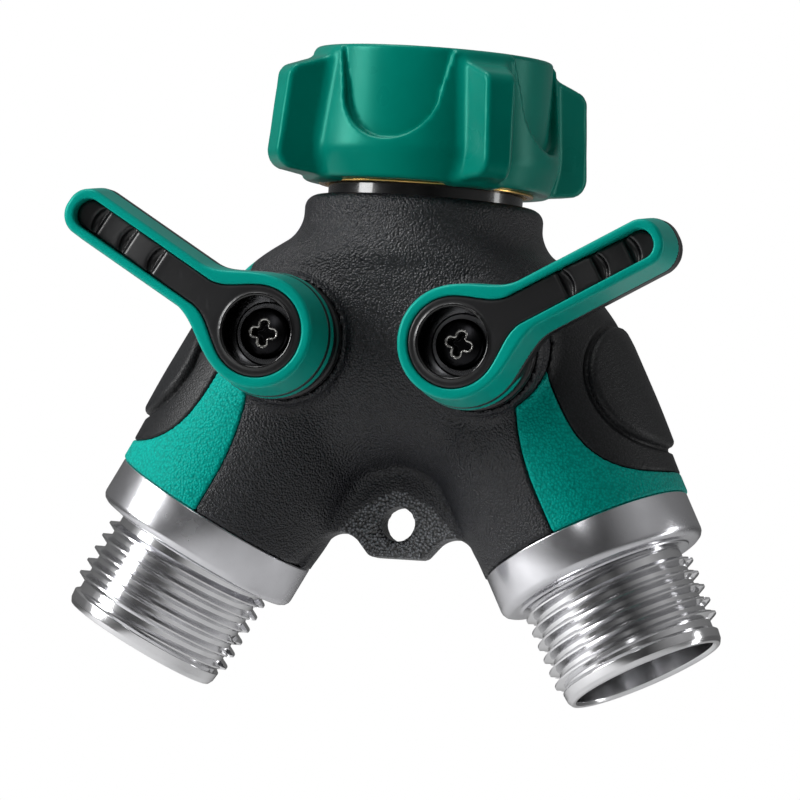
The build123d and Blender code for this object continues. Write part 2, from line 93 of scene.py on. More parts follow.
def srgb(code: str) -> tuple[float, float, float, float]:
    """Turns an sRGB hex colour to linear RGBA.

    Args:
        code: Six hex digits, with or without a leading hash.

    Returns:
        Linear red, green, blue and an alpha of 1.
    """
    parts = [int(code.lstrip("#")[i : i + 2], 16) / 255 for i in (0, 2, 4)]
    linear = [c / 12.92 if c <= 0.04045 else ((c + 0.055) / 1.055) ** 2.4 for c in parts]
    return (*linear, 1.0)


def node(tree: bpy.types.NodeTree, kind: str, settings: dict | None = None, **inputs) -> bpy.types.Node:
    """Adds a node to a tree with its settings and its inputs.

    Args:
        tree: The node tree.
        kind: The node's type name.
        settings: Attributes of the node.
        **inputs: Socket name (spaces as underscores) or i followed by an index, to a value or an output.

    Returns:
        The new node.
    """
    made = tree.nodes.new(kind)
    for key, value in (settings or {}).items():
        setattr(made, key, value)
    for key, value in inputs.items():
        name = key.replace("_", " ")
        socket = made.inputs[int(key[1:])] if key[0] == "i" and key[1:].isdigit() else made.inputs[name]
        if isinstance(value, bpy.types.NodeSocket):
            tree.links.new(value, socket)
        else:
            socket.default_value = value
    return made


def new_material(name: str) -> tuple[bpy.types.Material, bpy.types.NodeTree, bpy.types.Node]:
    """Makes an empty material with a principled shader.

    Args:
        name: The material's name.

    Returns:
        The material, its node tree and its shader.
    """
    material = bpy.data.materials.new(name)
    material.use_nodes = True
    tree = material.node_tree
    tree.nodes.clear()
    shader = node(tree, "ShaderNodeBsdfPrincipled")
    node(tree, "ShaderNodeOutputMaterial", None, Surface=shader.outputs[0])
    return material, tree, shader


def ramp(tree: Tree, value: Socket, stops: Sequence[tuple]) -> Socket:
    """Maps a value through a colour ramp.

    Args:
        tree: The node tree.
        value: The driving value.
        stops: Pairs of position and linear RGBA colour.

    Returns:
        The ramp's colour output.
    """
    made = node(tree, "ShaderNodeValToRGB", None, i0=value)
    elements = made.color_ramp.elements
    while len(elements) < len(stops):
        elements.new(0.5)
    for element, (position, colour) in zip(elements, stops):
        element.position = position
        element.color = colour
    return made.outputs[0]


def spread(tree: Tree, value: Socket, taken: tuple, given: tuple) -> Socket:
    """Maps one range of a value to another."""
    ends = {"From_Min": taken[0], "From_Max": taken[1], "To_Min": given[0], "To_Max": given[1]}
    return node(tree, "ShaderNodeMapRange", None, Value=value, **ends).outputs[0]


def relief(tree: Tree, height: Socket, depth_mm: float, invert: bool = False) -> Socket:
    """Normal of a relief with a depth in millimetres."""
    far = depth_mm * MM
    return node(tree, "ShaderNodeBump", {"invert": invert}, Strength=1.0, Distance=far, Height=height).outputs[0]


def tones(code: str, *factors: float) -> list[tuple]:
    """Linear colours of a hex colour darkened or lightened by each factor."""
    return [(*(min(1.0, c * f) for c in srgb(code)[:3]), 1.0) for f in factors]


def finish_shader(tree: Tree, shader: bpy.types.Node, colour: Socket, rough: Socket, normal: Socket) -> None:
    """Feeds colour, roughness and normal to a shader."""
    for name, value in (("Base Color", colour), ("Roughness", rough), ("Normal", normal)):
        tree.links.new(value, shader.inputs[name])


@dataclass(frozen=True)
class MouldedRubber:
    """Thermoplastic rubber moulded against an etched, leather-grained tool.

    The eye sees a dull skin of small pebbles. The pebble tops are painted lighter by the spark factor as a
    painted sparkle highlight, and the hollows between them are painted darker as painted shade.
    """

    name: str
    colour: str
    roughness: float = 0.46
    grain_mm: float = 0.42
    depth_mm: float = 0.07
    specular: float = 0.3
    tint: str = "#ffffff"
    # how many times lighter the pebble tops are painted: the strength of the painted sparkle highlight
    spark: float = 2.2

    def build(self) -> bpy.types.Material:
        """Builds the material."""
        material, tree, shader = new_material(self.name)
        place = node(tree, "ShaderNodeTexCoord").outputs["Object"]
        pebble = node(
            tree,
            "ShaderNodeTexVoronoi",
            {"feature": "F1"},
            Vector=place,
            Scale=1 / (self.grain_mm * MM),
            Randomness=1.0,
        )
        fine = node(
            tree, "ShaderNodeTexNoise", None, Vector=place, Scale=2.4 / (self.grain_mm * MM), Detail=4.0
        )
        height = node(
            tree,
            "ShaderNodeMath",
            {"operation": "MULTIPLY_ADD"},
            i0=fine.outputs[0],
            i1=-0.45,
            i2=pebble.outputs[0],
        )
        # handling polishes broad patches a little and leaves others chalkier
        patch = node(tree, "ShaderNodeTexNoise", None, Vector=place, Scale=90.0, Detail=3.0).outputs[0]
        rough = spread(tree, patch, (0.3, 0.7), (self.roughness - 0.07, self.roughness + 0.09))
        # painted light: pebble tops painted spark times lighter as a painted sparkle highlight, hollows painted
        # darker as painted shade
        light, base, dark = tones(self.colour, self.spark, 1.0, 0.72)
        tone = ramp(tree, height.outputs[0], ((0.0, light), (0.35, base), (0.9, dark)))
        finish_shader(tree, shader, tone, rough, relief(tree, height.outputs[0], self.depth_mm, True))
        shader.inputs["IOR"].default_value = 1.5
        shader.inputs["Specular IOR Level"].default_value = self.specular
        shader.inputs["Specular Tint"].default_value = srgb(self.tint)
        return material


@dataclass(frozen=True)
class MouldedPlastic:
    """Injection-moulded ABS or acetal: smooth skin, faint flow waviness, hairline scuffs."""

    name: str
    colour: str
    roughness: float = 0.25
    coat: float = 0.0
    texture_mm: float = 0.25
    texture_depth_mm: float = 0.004
    spread: float = 0.06
    tint: str = "#ffffff"

    def build(self) -> bpy.types.Material:
        """Builds the material."""
        material, tree, shader = new_material(self.name)
        place = node(tree, "ShaderNodeTexCoord").outputs["Object"]
        scale = 1 / (self.texture_mm * MM)
        spark = node(tree, "ShaderNodeTexNoise", None, Vector=place, Scale=scale, Detail=3.0)
        flow = node(tree, "ShaderNodeTexNoise", None, Vector=place, Scale=70.0, Detail=2.0)
        stretched = node(tree, "ShaderNodeMapping", None, Vector=place, Scale=(1.0, 0.12, 0.35))
        long_way = stretched.outputs[0]
        scuffs = node(tree, "ShaderNodeTexNoise", None, Vector=long_way, Scale=1400.0, Detail=2.0)
        scuffed = spread(tree, scuffs.outputs[0], (0.62, 0.75), (0.0, self.spread))
        ends = (self.roughness - self.spread / 2, self.roughness + self.spread / 2)
        rough = spread(tree, flow.outputs[0], (0.3, 0.7), ends)
        total = node(tree, "ShaderNodeMath", {"operation": "ADD"}, i0=rough, i1=scuffed).outputs[0]
        dark, light = tones(self.colour, 0.92, 1.06)
        tone = ramp(tree, flow.outputs[0], ((0.35, dark), (0.65, light)))
        finish_shader(tree, shader, tone, total, relief(tree, spark.outputs[0], self.texture_depth_mm))
        shader.inputs["IOR"].default_value = 1.53
        shader.inputs["Specular Tint"].default_value = srgb(self.tint)
        shader.inputs["Coat Weight"].default_value = self.coat
        shader.inputs["Coat Roughness"].default_value = 0.08
        return material


@dataclass(frozen=True)
class MachinedMetal:
    """Turned, tumbled or plated metal: a metal colour, tool marks round its axis and dull patches."""

    name: str
    colour: str
    roughness: float = 0.2
    mark_mm: float = 0.12
    mark_depth_mm: float = 0.0015
    tarnish: float = 0.1

    def build(self) -> bpy.types.Material:
        """Builds the material."""
        material, tree, shader = new_material(self.name)
        place = node(tree, "ShaderNodeTexCoord").outputs["Object"]
        scale = 1 / (self.mark_mm * MM)
        marks = node(tree, "ShaderNodeTexNoise", None, Vector=place, Scale=scale, Detail=2.0)
        cloud = node(tree, "ShaderNodeTexNoise", None, Vector=place, Scale=160.0, Detail=4.0)
        ends = (self.roughness - self.tarnish / 2, self.roughness + self.tarnish / 2)
        rough = spread(tree, cloud.outputs[0], (0.35, 0.7), ends)
        base, dull = tones(self.colour, 1.0, 0.86)
        tone = ramp(tree, cloud.outputs[0], ((0.35, base), (0.75, dull)))
        finish_shader(tree, shader, tone, rough, relief(tree, marks.outputs[0], self.mark_depth_mm))
        shader.inputs["Metallic"].default_value = 1.0
        return material


@dataclass(frozen=True)
class GlossPaint:
    """Baked black enamel on zinc: deep gloss with slight orange peel."""

    name: str
    colour: str
    roughness: float = 0.16

    def build(self) -> bpy.types.Material:
        """Builds the material."""
        material, tree, shader = new_material(self.name)
        place = node(tree, "ShaderNodeTexCoord").outputs["Object"]
        peel = node(tree, "ShaderNodeTexNoise", None, Vector=place, Scale=1100.0, Detail=1.0)
        rough = spread(tree, peel.outputs[0], (0.0, 1.0), (self.roughness, self.roughness + 0.12))
        base, light = tones(self.colour, 1.0, 1.3)
        tone = ramp(tree, peel.outputs[0], ((0.3, base), (0.8, light)))
        finish_shader(tree, shader, tone, rough, relief(tree, peel.outputs[0], 0.004))
        shader.inputs["IOR"].default_value = 1.5
        shader.inputs["Coat Weight"].default_value = 0.6
        shader.inputs["Coat Roughness"].default_value = 0.05
        return material


class Finishes:
    """Every finish of the splitter, each built once."""

    def __init__(self) -> None:
        """Builds all materials."""
        self.black_rubber = MouldedRubber(
            "tpr_black_leather_grain", "#0f1014", 0.35, 0.34, 0.17, 0.45, spark=3.5
        ).build()
        # the tab's flat: a lighter black whose pebble tops are painted fourteen times lighter, a strong painted
        # sparkle highlight
        self.tab_rubber = MouldedRubber(
            "tpr_black_spark_grain", "#1e1f21", 0.3, 0.42, 0.25, 0.8, spark=14.0
        ).build()
        self.pad_rubber = MouldedRubber("tpr_black_fine_grain", "#0f1012", 0.44, 0.3, 0.06, 0.3).build()
        self.green_rubber = MouldedRubber(
            "tpr_green_leather_grain", "#009488", 0.46, 0.4, 0.13, 0.4, "#3fd8c8", 1.35
        ).build()
        self.green_gloss = MouldedPlastic(
            "abs_green_gloss", "#007a6a", 0.3, 0.0, 0.3, 0.003, 0.06, "#00a890"
        ).build()
        self.green_satin = MouldedPlastic(
            "abs_green_satin", "#009688", 0.36, 0.0, 0.2, 0.012, 0.06, "#40d0c0"
        ).build()
        self.black_satin = MouldedPlastic("abs_black_satin", "#0d0d0f", 0.34, 0.0, 0.16, 0.014).build()
        self.black_gloss = MouldedPlastic("acetal_black_gloss", "#070708", 0.14, 0.2, 0.3, 0.002).build()
        self.nickel = MachinedMetal("nickel_plate_satin", "#d6d6da", 0.24, 0.10, 0.0012).build()
        self.nickel_thread = MachinedMetal(
            "nickel_plate_bright", "#e4e4e6", 0.15, 0.10, 0.0010, 0.06
        ).build()
        self.brass = MachinedMetal("turned_brass", "#d9b26a", 0.2, 0.12, 0.0015).build()
        self.chrome = MachinedMetal("chromed_brass_ball", "#d4d6d9", 0.08, 0.2, 0.0004, 0.04).build()
        self.screw_steel = MachinedMetal("black_zinc_screw_steel", "#222224", 0.26, 0.14, 0.002).build()
        # bare steel for the screw's recess edges: partly real wear of the plating, partly a painted highlight
        self.bare_steel = MachinedMetal("bare_steel_worn_edge", "#c9c8c4", 0.2, 0.12, 0.002).build()
        self.spring_steel = MachinedMetal("spring_steel", "#9a9b9e", 0.28, 0.14, 0.002).build()
        self.black_paint = GlossPaint("enamel_black_on_zinc", "#0a0a0c").build()
        self.seal_rubber = MouldedRubber("nitrile_seal_rubber", "#141415", 0.5, 0.3, 0.01).build()
        self.ptfe = MouldedPlastic("ptfe_white", "#ebebe6", 0.4, 0.0, 0.3, 0.004).build()


# ---------------------------------------------------------------- frames and implicit shapes


@dataclass(frozen=True)
class LocalFrame:
    """A right-handed frame inside the part, in millimetres."""

    origin: tuple[float, float, float]
    x: tuple[float, float, float]
    z: tuple[float, float, float]

    @property
    def axes(self) -> Array:
        """The three axes as rows."""
        x, z = np.array(self.x, float), np.array(self.z, float)
        return np.stack([x, np.cross(z, x), z])

    def local(self, points: Array) -> Array:
        """Turns part points to this frame."""
        return (points - np.array(self.origin)) @ self.axes.T

    def world(self, points: Array) -> Array:
        """Turns points of this frame to the part."""
        return points @ self.axes + np.array(self.origin)


@dataclass(frozen=True)
class Layout:
    """Where the axes of the splitter lie."""

    branch_z: float = -10.3
    leg_angle: float = math.radians(28.0)
    valve_s: float = 32.5
    leg_end: float = 62.0
    lever_lift: float = math.radians(2.4)

    def leg(self, side: Side) -> LocalFrame:
        """Frame with Z down an outlet axis and X to the outside of the Y."""
        c, s = math.cos(self.leg_angle), math.sin(self.leg_angle)
        return LocalFrame((0, 0, self.branch_z), (side.value * c, 0, s), (side.value * s, 0, -c))

    def valve(self, side: Side) -> LocalFrame:
        """Frame at a valve's centre with Z towards the lever and X along the lever."""
        c, s = math.cos(self.leg_angle), math.sin(self.leg_angle)
        centre = (side.value * self.valve_s * s, 0, self.branch_z - self.valve_s * c)
        return LocalFrame(centre, (side.value * c, 0, s), (0, -1, 0))

    def lever(self, side: Side) -> LocalFrame:
        """Frame at a valve's centre with X along its lever, which stands a little past square."""
        return self.turned(side, side.value * (self.leg_angle + self.lever_lift), side.value)

    def turned(self, side: Side, angle: float, way: int = 1) -> LocalFrame:
        """Frame at a valve's centre with Z towards the lever and X at an angle to the part's X."""
        x = (way * math.cos(angle), 0, way * math.sin(angle))
        return LocalFrame(self.valve(side).origin, x, (0, -1, 0))


PART_FRAME = LocalFrame((0, 0, 0), (1, 0, 0), (0, 0, 1))
SCREW_TURNS = {Side.LEFT: -3.0, Side.RIGHT: -13.0}


def both(a: Array, b: Array, radius: float) -> Array:
    """Intersection of two fields with an edge rounded to a radius.

    Args:
        a: First distance field.
        b: Second distance field.
        radius: Edge radius.

    Returns:
        The combined field.
    """
    if radius <= 0:
        return np.maximum(a, b)
    u, v = np.maximum(a + radius, 0), np.maximum(b + radius, 0)
    return np.minimum(np.maximum(a, b), -radius) + np.hypot(u, v)


def either(a: Array, b: Array, radius: float) -> Array:
    """Union of two fields with the hollow between them filleted to a radius."""
    return -both(-a, -b, radius)


def without(a: Array, b: Array, radius: float) -> Array:
    """Field a with b cut from it, the edge rounded to a radius."""
    return both(a, -b, radius)


def smooth_step(value: Array, low: float, high: float) -> Array:
    """Eased ramp from 0 at low to 1 at high."""
    t = np.clip((value - low) / (high - low), 0, 1)
    return t * t * (3 - 2 * t)


def oval(a: Array, b: Array, half_a: float, half_b: float, power: float = 2.0) -> Array:
    """Approximate distance to an oval centred on the origin.

    Args:
        a: First coordinate.
        b: Second coordinate.
        half_a: Half size along the first.
        half_b: Half size along the second.
        power: 2 for an ellipse, more for a squarer oval.

    Returns:
        Signed distance, negative inside.
    """
    qa, qb = np.abs(a) / half_a, np.abs(b) / half_b
    total = qa**power + qb**power + 1e-9
    value = total ** (1 / power)
    slope = total ** (1 / power - 1) * np.hypot(qa ** (power - 1) / half_a, qb ** (power - 1) / half_b)
    return (value - 1) / np.maximum(slope, 1e-3)


def evaluate(shape: Field, points: Array, chunk: int = 400_000) -> Array:
    """Evaluates a field in chunks so that memory stays low."""
    return np.concatenate([shape(points[i : i + chunk]) for i in range(0, len(points), chunk)])


def surface_of(
    shape: Field, low: Sequence[float], high: Sequence[float], step: float
) -> tuple[Array, Array]:
    """Meshes the zero surface of a field with a quad net, then settles its points on the surface.

    Args:
        shape: Signed distance field, negative inside.
        low: Lowest corner of the box searched.
        high: Highest corner of the box searched.
        step: Cell size.

    Returns:
        Points and quad faces.
    """
    low = np.array(low, float)
    count = np.ceil((np.array(high, float) - low) / step).astype(int) + 1
    grid = np.stack(np.meshgrid(*(np.arange(n) for n in count), indexing="ij"), -1)
    value = evaluate(shape, low + grid.reshape(-1, 3) * step).reshape(count)
    inside = value < 0
    cells = tuple(count - 1)
    total, crossings = np.zeros((*cells, 3)), np.zeros(cells)
    corner = [(i, j, k) for i in (0, 1) for j in (0, 1) for k in (0, 1)]

    def at(field_: Array, c: tuple) -> Array:
        """Values at one corner of every cell."""
        return field_[c[0] : c[0] + cells[0], c[1] : c[1] + cells[1], c[2] : c[2] + cells[2]]

    for first in corner:
        for axis in range(3):
            if first[axis]:
                continue
            second = tuple(1 if n == axis else c for n, c in enumerate(first))
            a, b = at(value, first), at(value, second)
            cut = at(inside, first) != at(inside, second)
            share = np.where(cut, a / np.where(cut, a - b, 1), 0)
            for n in range(3):
                total[..., n] += np.where(cut, first[n] + (share if n == axis else 0), 0)
            crossings += cut
    active = crossings > 0
    index = np.full(cells, -1)
    index[active] = np.arange(active.sum())
    points = low + (np.argwhere(active) + total[active] / crossings[active][:, None]) * step
    faces = []
    for axis in range(3):
        u, v = [n for n in range(3) if n != axis]
        spans = [slice(1, -1)] * 3
        spans[axis] = slice(0, -1)
        upper = list(spans)
        upper[axis] = slice(1, None)
        here, there = inside[tuple(spans)], inside[tuple(upper)]
        found = np.argwhere(here != there)
        found[:, u] += 1
        found[:, v] += 1
        ring = []
        for du, dv in ((-1, -1), (0, -1), (0, 0), (-1, 0)):
            cell = found.copy()
            cell[:, u] += du
            cell[:, v] += dv
            ring.append(index[cell[:, 0], cell[:, 1], cell[:, 2]])
        quad = np.stack(ring, 1)
        leaving = here[here != there]
        flip = leaving if axis == 1 else ~leaving
        quad[flip] = quad[flip][:, ::-1]
        faces.append(quad)
    for _ in range(4):
        points = points - settle(shape, points, step)
    return points, np.concatenate(faces)


def settle(shape: Field, points: Array, step: float) -> Array:
    """Newton step that carries points to the zero surface of a field.

    Args:
        shape: The field.
        points: Points near its surface.
        step: Cell size, which limits the move.

    Returns:
        The move to take away from each point.
    """
    eps = 0.02 * step
    here = evaluate(shape, points)
    slope = np.stack([(evaluate(shape, points + eps * np.eye(3)[n]) - here) / eps for n in range(3)], 1)
    move = here[:, None] * slope / np.maximum((slope**2).sum(1), 0.05)[:, None]
    return np.clip(move, -0.5 * step, 0.5 * step)


def lathe(profile: Sequence[tuple[float, float]], segments: int = 160) -> tuple[Array, Array]:
    """Turns a closed profile round Z.

    Args:
        profile: Radius and height pairs, counter-clockwise with radius to the right.
        segments: Steps round the axis.

    Returns:
        Points and quad faces.
    """
    outline = np.array(profile, float)
    turn = np.linspace(0, 2 * np.pi, segments, endpoint=False)
    points = np.stack(
        [
            np.outer(np.cos(turn), outline[:, 0]),
            np.outer(np.sin(turn), outline[:, 0]),
            np.tile(outline[:, 1], (segments, 1)),
        ],
        -1,
    ).reshape(-1, 3)
    n = len(outline)
    i, j = np.meshgrid(np.arange(segments), np.arange(n), indexing="ij")
    a, b = i * n + j, ((i + 1) % segments) * n + j
    c, d = ((i + 1) % segments) * n + (j + 1) % n, i * n + (j + 1) % n
    return points, np.stack([a, b, c, d], -1).reshape(-1, 4)


def rounded(profile: Sequence[tuple[float, float, float]], steps: int = 5) -> list[tuple[float, float]]:
    """Rounds the corners of a closed profile.

    Args:
        profile: Radius, height and corner radius for each corner.
        steps: Points on each rounded corner.

    Returns:
        Radius and height pairs.
    """
    result = []
    corners = [np.array(p[:2], float) for p in profile]
    for n, (corner, (_, _, radius)) in enumerate(zip(corners, profile)):
        if radius <= 0:
            result.append(tuple(corner))
            continue
        before, after = corners[n - 1] - corner, corners[(n + 1) % len(corners)] - corner
        before, after = before / np.linalg.norm(before), after / np.linalg.norm(after)
        half = math.acos(float(np.clip(before @ after, -1, 1))) / 2
        reach = radius / math.tan(half)
        centre = corner + (before + after) / np.linalg.norm(before + after) * radius / math.sin(half)
        first, last = corner + before * reach - centre, corner + after * reach - centre
        for t in np.linspace(0, 1, steps):
            spoke = first * (1 - t) + last * t
            result.append(tuple(centre + spoke / np.linalg.norm(spoke) * radius))
    return result


# ---------------------------------------------------------------- pieces


def piece(
    name: str,
    mesh: tuple[Array, Array | list],
    frame: LocalFrame,
    material: bpy.types.Material,
    sharp_angle: float | None = None,
) -> bpy.types.Object:
    """Makes one finished piece with its place in its mesh.

    Args:
        name: The piece's name.
        mesh: Points in millimetres in the frame, and faces.
        frame: The frame the points are in.
        material: Its finish.
        sharp_angle: Edge angle in degrees above which shading breaks, or None.

    Returns:
        The object.
    """
    points, faces = mesh
    data = bpy.data.meshes.new(name)
    faces = faces.tolist() if isinstance(faces, np.ndarray) else faces
    data.from_pydata((frame.world(points) * MM).tolist(), [], faces)
    data.validate()
    data.shade_smooth()
    if sharp_angle is not None:
        data.set_sharp_from_angle(angle=math.radians(sharp_angle))
    data.materials.append(material)
    made = bpy.data.objects.new(name, data)
    bpy.context.scene.collection.objects.link(made)
    return made


def face_centres(made: bpy.types.Object) -> Array:
    """Middles of a piece's faces in millimetres."""
    centres = np.zeros(len(made.data.polygons) * 3)
    made.data.polygons.foreach_get("center", centres)
    return centres.reshape(-1, 3) / MM


def stand_for(made: bpy.types.Object, body: str, nodes: Sequence[str]) -> None:
    """Makes a piece ride on a body in place of CAD nodes.

    Args:
        made: The piece.
        body: The CAD body.
        nodes: The nodes it stands for.
    """
    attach(made, body)
    if nodes:
        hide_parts(*nodes)
    log.info("piece %s: %d faces on %s", made.name, len(made.data.polygons), body)


def dress_node(frame: dict, name: str, material: bpy.types.Material) -> None:
    """Gives a CAD node that stays its finish.

    Args:
        frame: The loaded frame.
        name: The node.
        material: Its finish.
    """
    data = frame["nodes"][name].data
    data.materials.clear()
    data.materials.append(material)
    log.info("node %s dressed in %s", name, material.name)


class HelixTree:
    """Geometry Nodes tree that sweeps a tapering ridge along a screw line round Z."""

    INPUTS = (
        ("Turns", "NodeSocketFloat", 5.0),
        ("Pitch", "NodeSocketFloat", 0.002),
        ("Radius", "NodeSocketFloat", 0.012),
        ("Start", "NodeSocketFloat", 0.0),
        ("Base", "NodeSocketFloat", 0.0018),
        ("Crest", "NodeSocketFloat", 0.0003),
        ("Height", "NodeSocketFloat", 0.0013),
        ("Parting Width", "NodeSocketFloat", 0.0),
        ("Fade", "NodeSocketFloat", 0.3),
        ("Finish", "NodeSocketMaterial", None),
    )

    def __init__(self) -> None:
        """Builds the tree with its named inputs."""
        self.tree = bpy.data.node_groups.new("screw_ridge", "GeometryNodeTree")
        face = self.tree.interface
        for name, kind, value in self.INPUTS:
            socket = face.new_socket(name, in_out="INPUT", socket_type=kind)
            if value is not None:
                socket.default_value = value
        face.new_socket("Geometry", in_out="OUTPUT", socket_type="NodeSocketGeometry")
        self._wire()

    def _maths(self, operation: str, *values) -> bpy.types.NodeSocket:
        """Output of a math node."""
        inputs = {f"i{n}": v for n, v in enumerate(values)}
        return node(self.tree, "ShaderNodeMath", {"operation": operation}, **inputs).outputs[0]

    def _wire(self) -> None:
        """Wires the tree: screw line, tapering, profile, sweep, finish."""
        tree = self.tree
        given = node(tree, "NodeGroupInput").outputs
        result = node(tree, "NodeGroupOutput")
        count = self._maths("MULTIPLY", given["Turns"], 96.0)
        line = node(tree, "GeometryNodeCurvePrimitiveLine", {"mode": "POINTS"}, End=(0, 0, 1))
        fine = node(tree, "GeometryNodeResampleCurve", None, Curve=line.outputs[0], Count=count)
        along = node(tree, "GeometryNodeSplineParameter").outputs["Factor"]
        turned = self._maths("MULTIPLY", along, given["Turns"])
        angle = self._maths("MULTIPLY", turned, 2 * math.pi)
        x = self._maths("MULTIPLY", self._maths("COSINE", angle), given["Radius"])
        y = self._maths("MULTIPLY", self._maths("SINE", angle), given["Radius"])
        z = self._maths("ADD", self._maths("MULTIPLY", turned, given["Pitch"]), given["Start"])
        where = node(tree, "ShaderNodeCombineXYZ", None, X=x, Y=y, Z=z).outputs[0]
        screw = node(tree, "GeometryNodeSetPosition", None, Geometry=fine.outputs[0], Position=where)
        upright = node(tree, "GeometryNodeSetCurveNormal", {"mode": "Z_UP"}, Curve=screw.outputs[0])
        # the ridge sinks into the wall at its two ends and at the parting line
        left = self._maths("SUBTRACT", given["Turns"], turned)
        ends = self._maths("DIVIDE", self._maths("MINIMUM", turned, left), given["Fade"])
        sine = self._maths("ABSOLUTE", self._maths("SINE", angle))
        across = self._maths("MULTIPLY", sine, given["Radius"])
        half = self._maths("MULTIPLY", given["Parting Width"], 0.5)
        gap = self._maths("DIVIDE", self._maths("SUBTRACT", across, half), 0.00035)
        clamped = self._maths("MINIMUM", self._maths("MINIMUM", ends, gap), 1.0)
        scale = self._maths("MAXIMUM", clamped, 0.02)
        half_base = self._maths("MULTIPLY", given["Base"], 0.5)
        half_crest = self._maths("MULTIPLY", given["Crest"], 0.5)
        sink = -0.0004
        corners = (
            (sink, half_base, -1.0),
            (given["Height"], half_crest, -1.0),
            (given["Height"], half_crest, 1.0),
            (sink, half_base, 1.0),
        )
        placed = []
        for depth, reach, sign in corners:
            side = self._maths("MULTIPLY", reach, sign)
            placed.append(node(tree, "ShaderNodeCombineXYZ", None, X=depth, Y=side).outputs[0])
        outline = node(tree, "GeometryNodeCurvePrimitiveQuadrilateral", {"mode": "POINTS"})
        for n, corner in enumerate(placed):
            tree.links.new(corner, outline.inputs[f"Point {n + 1}"])
        swept = node(
            tree,
            "GeometryNodeCurveToMesh",
            None,
            Curve=upright.outputs[0],
            Profile_Curve=outline.outputs[0],
            Scale=scale,
            Fill_Caps=True,
        )
        plain = node(tree, "GeometryNodeRealizeInstances", None, Geometry=swept.outputs[0])
        dressed = node(
            tree, "GeometryNodeSetMaterial", None, Geometry=plain.outputs[0], Material=given["Finish"]
        )
        tree.links.new(dressed.outputs[0], result.inputs[0])

    def mesh(self, values: dict) -> tuple[Array, Array]:
        """Runs the tree and returns its plain mesh.

        Args:
            values: Input name to value, sizes in metres.

        Returns:
            Points in millimetres and faces.
        """
        holder = bpy.data.objects.new("screw_ridge", bpy.data.meshes.new("screw_ridge"))
        bpy.context.scene.collection.objects.link(holder)
        modifier = holder.modifiers.new("ridge", "NODES")
        modifier.node_group = self.tree
        for item in self.tree.interface.items_tree:
            if item.in_out == "INPUT" and item.name in values:
                modifier[item.identifier] = values[item.name]
        graph = bpy.context.evaluated_depsgraph_get()
        data = bpy.data.meshes.new_from_object(holder.evaluated_get(graph))
        holder.modifiers.remove(modifier)
        points = np.zeros(len(data.vertices) * 3)
        data.vertices.foreach_get("co", points)
        faces = [list(p.vertices) for p in data.polygons]
        bpy.data.objects.remove(holder)
        bpy.data.meshes.remove(data)
        return points.reshape(-1, 3) / MM, faces


def joined(*meshes: tuple[Array, Sequence]) -> tuple[Array, list]:
    """Puts several meshes in one.

    Args:
        *meshes: Points and faces of each.

    Returns:
        All points and all faces.
    """
    points, faces, offset = [], [], 0
    for own, quads in meshes:
        points.append(own)
        faces.extend([[int(v) + offset for v in quad] for quad in quads])
        offset += len(own)
    return np.concatenate(points), faces


# ---------------------------------------------------------------- the rubber grip


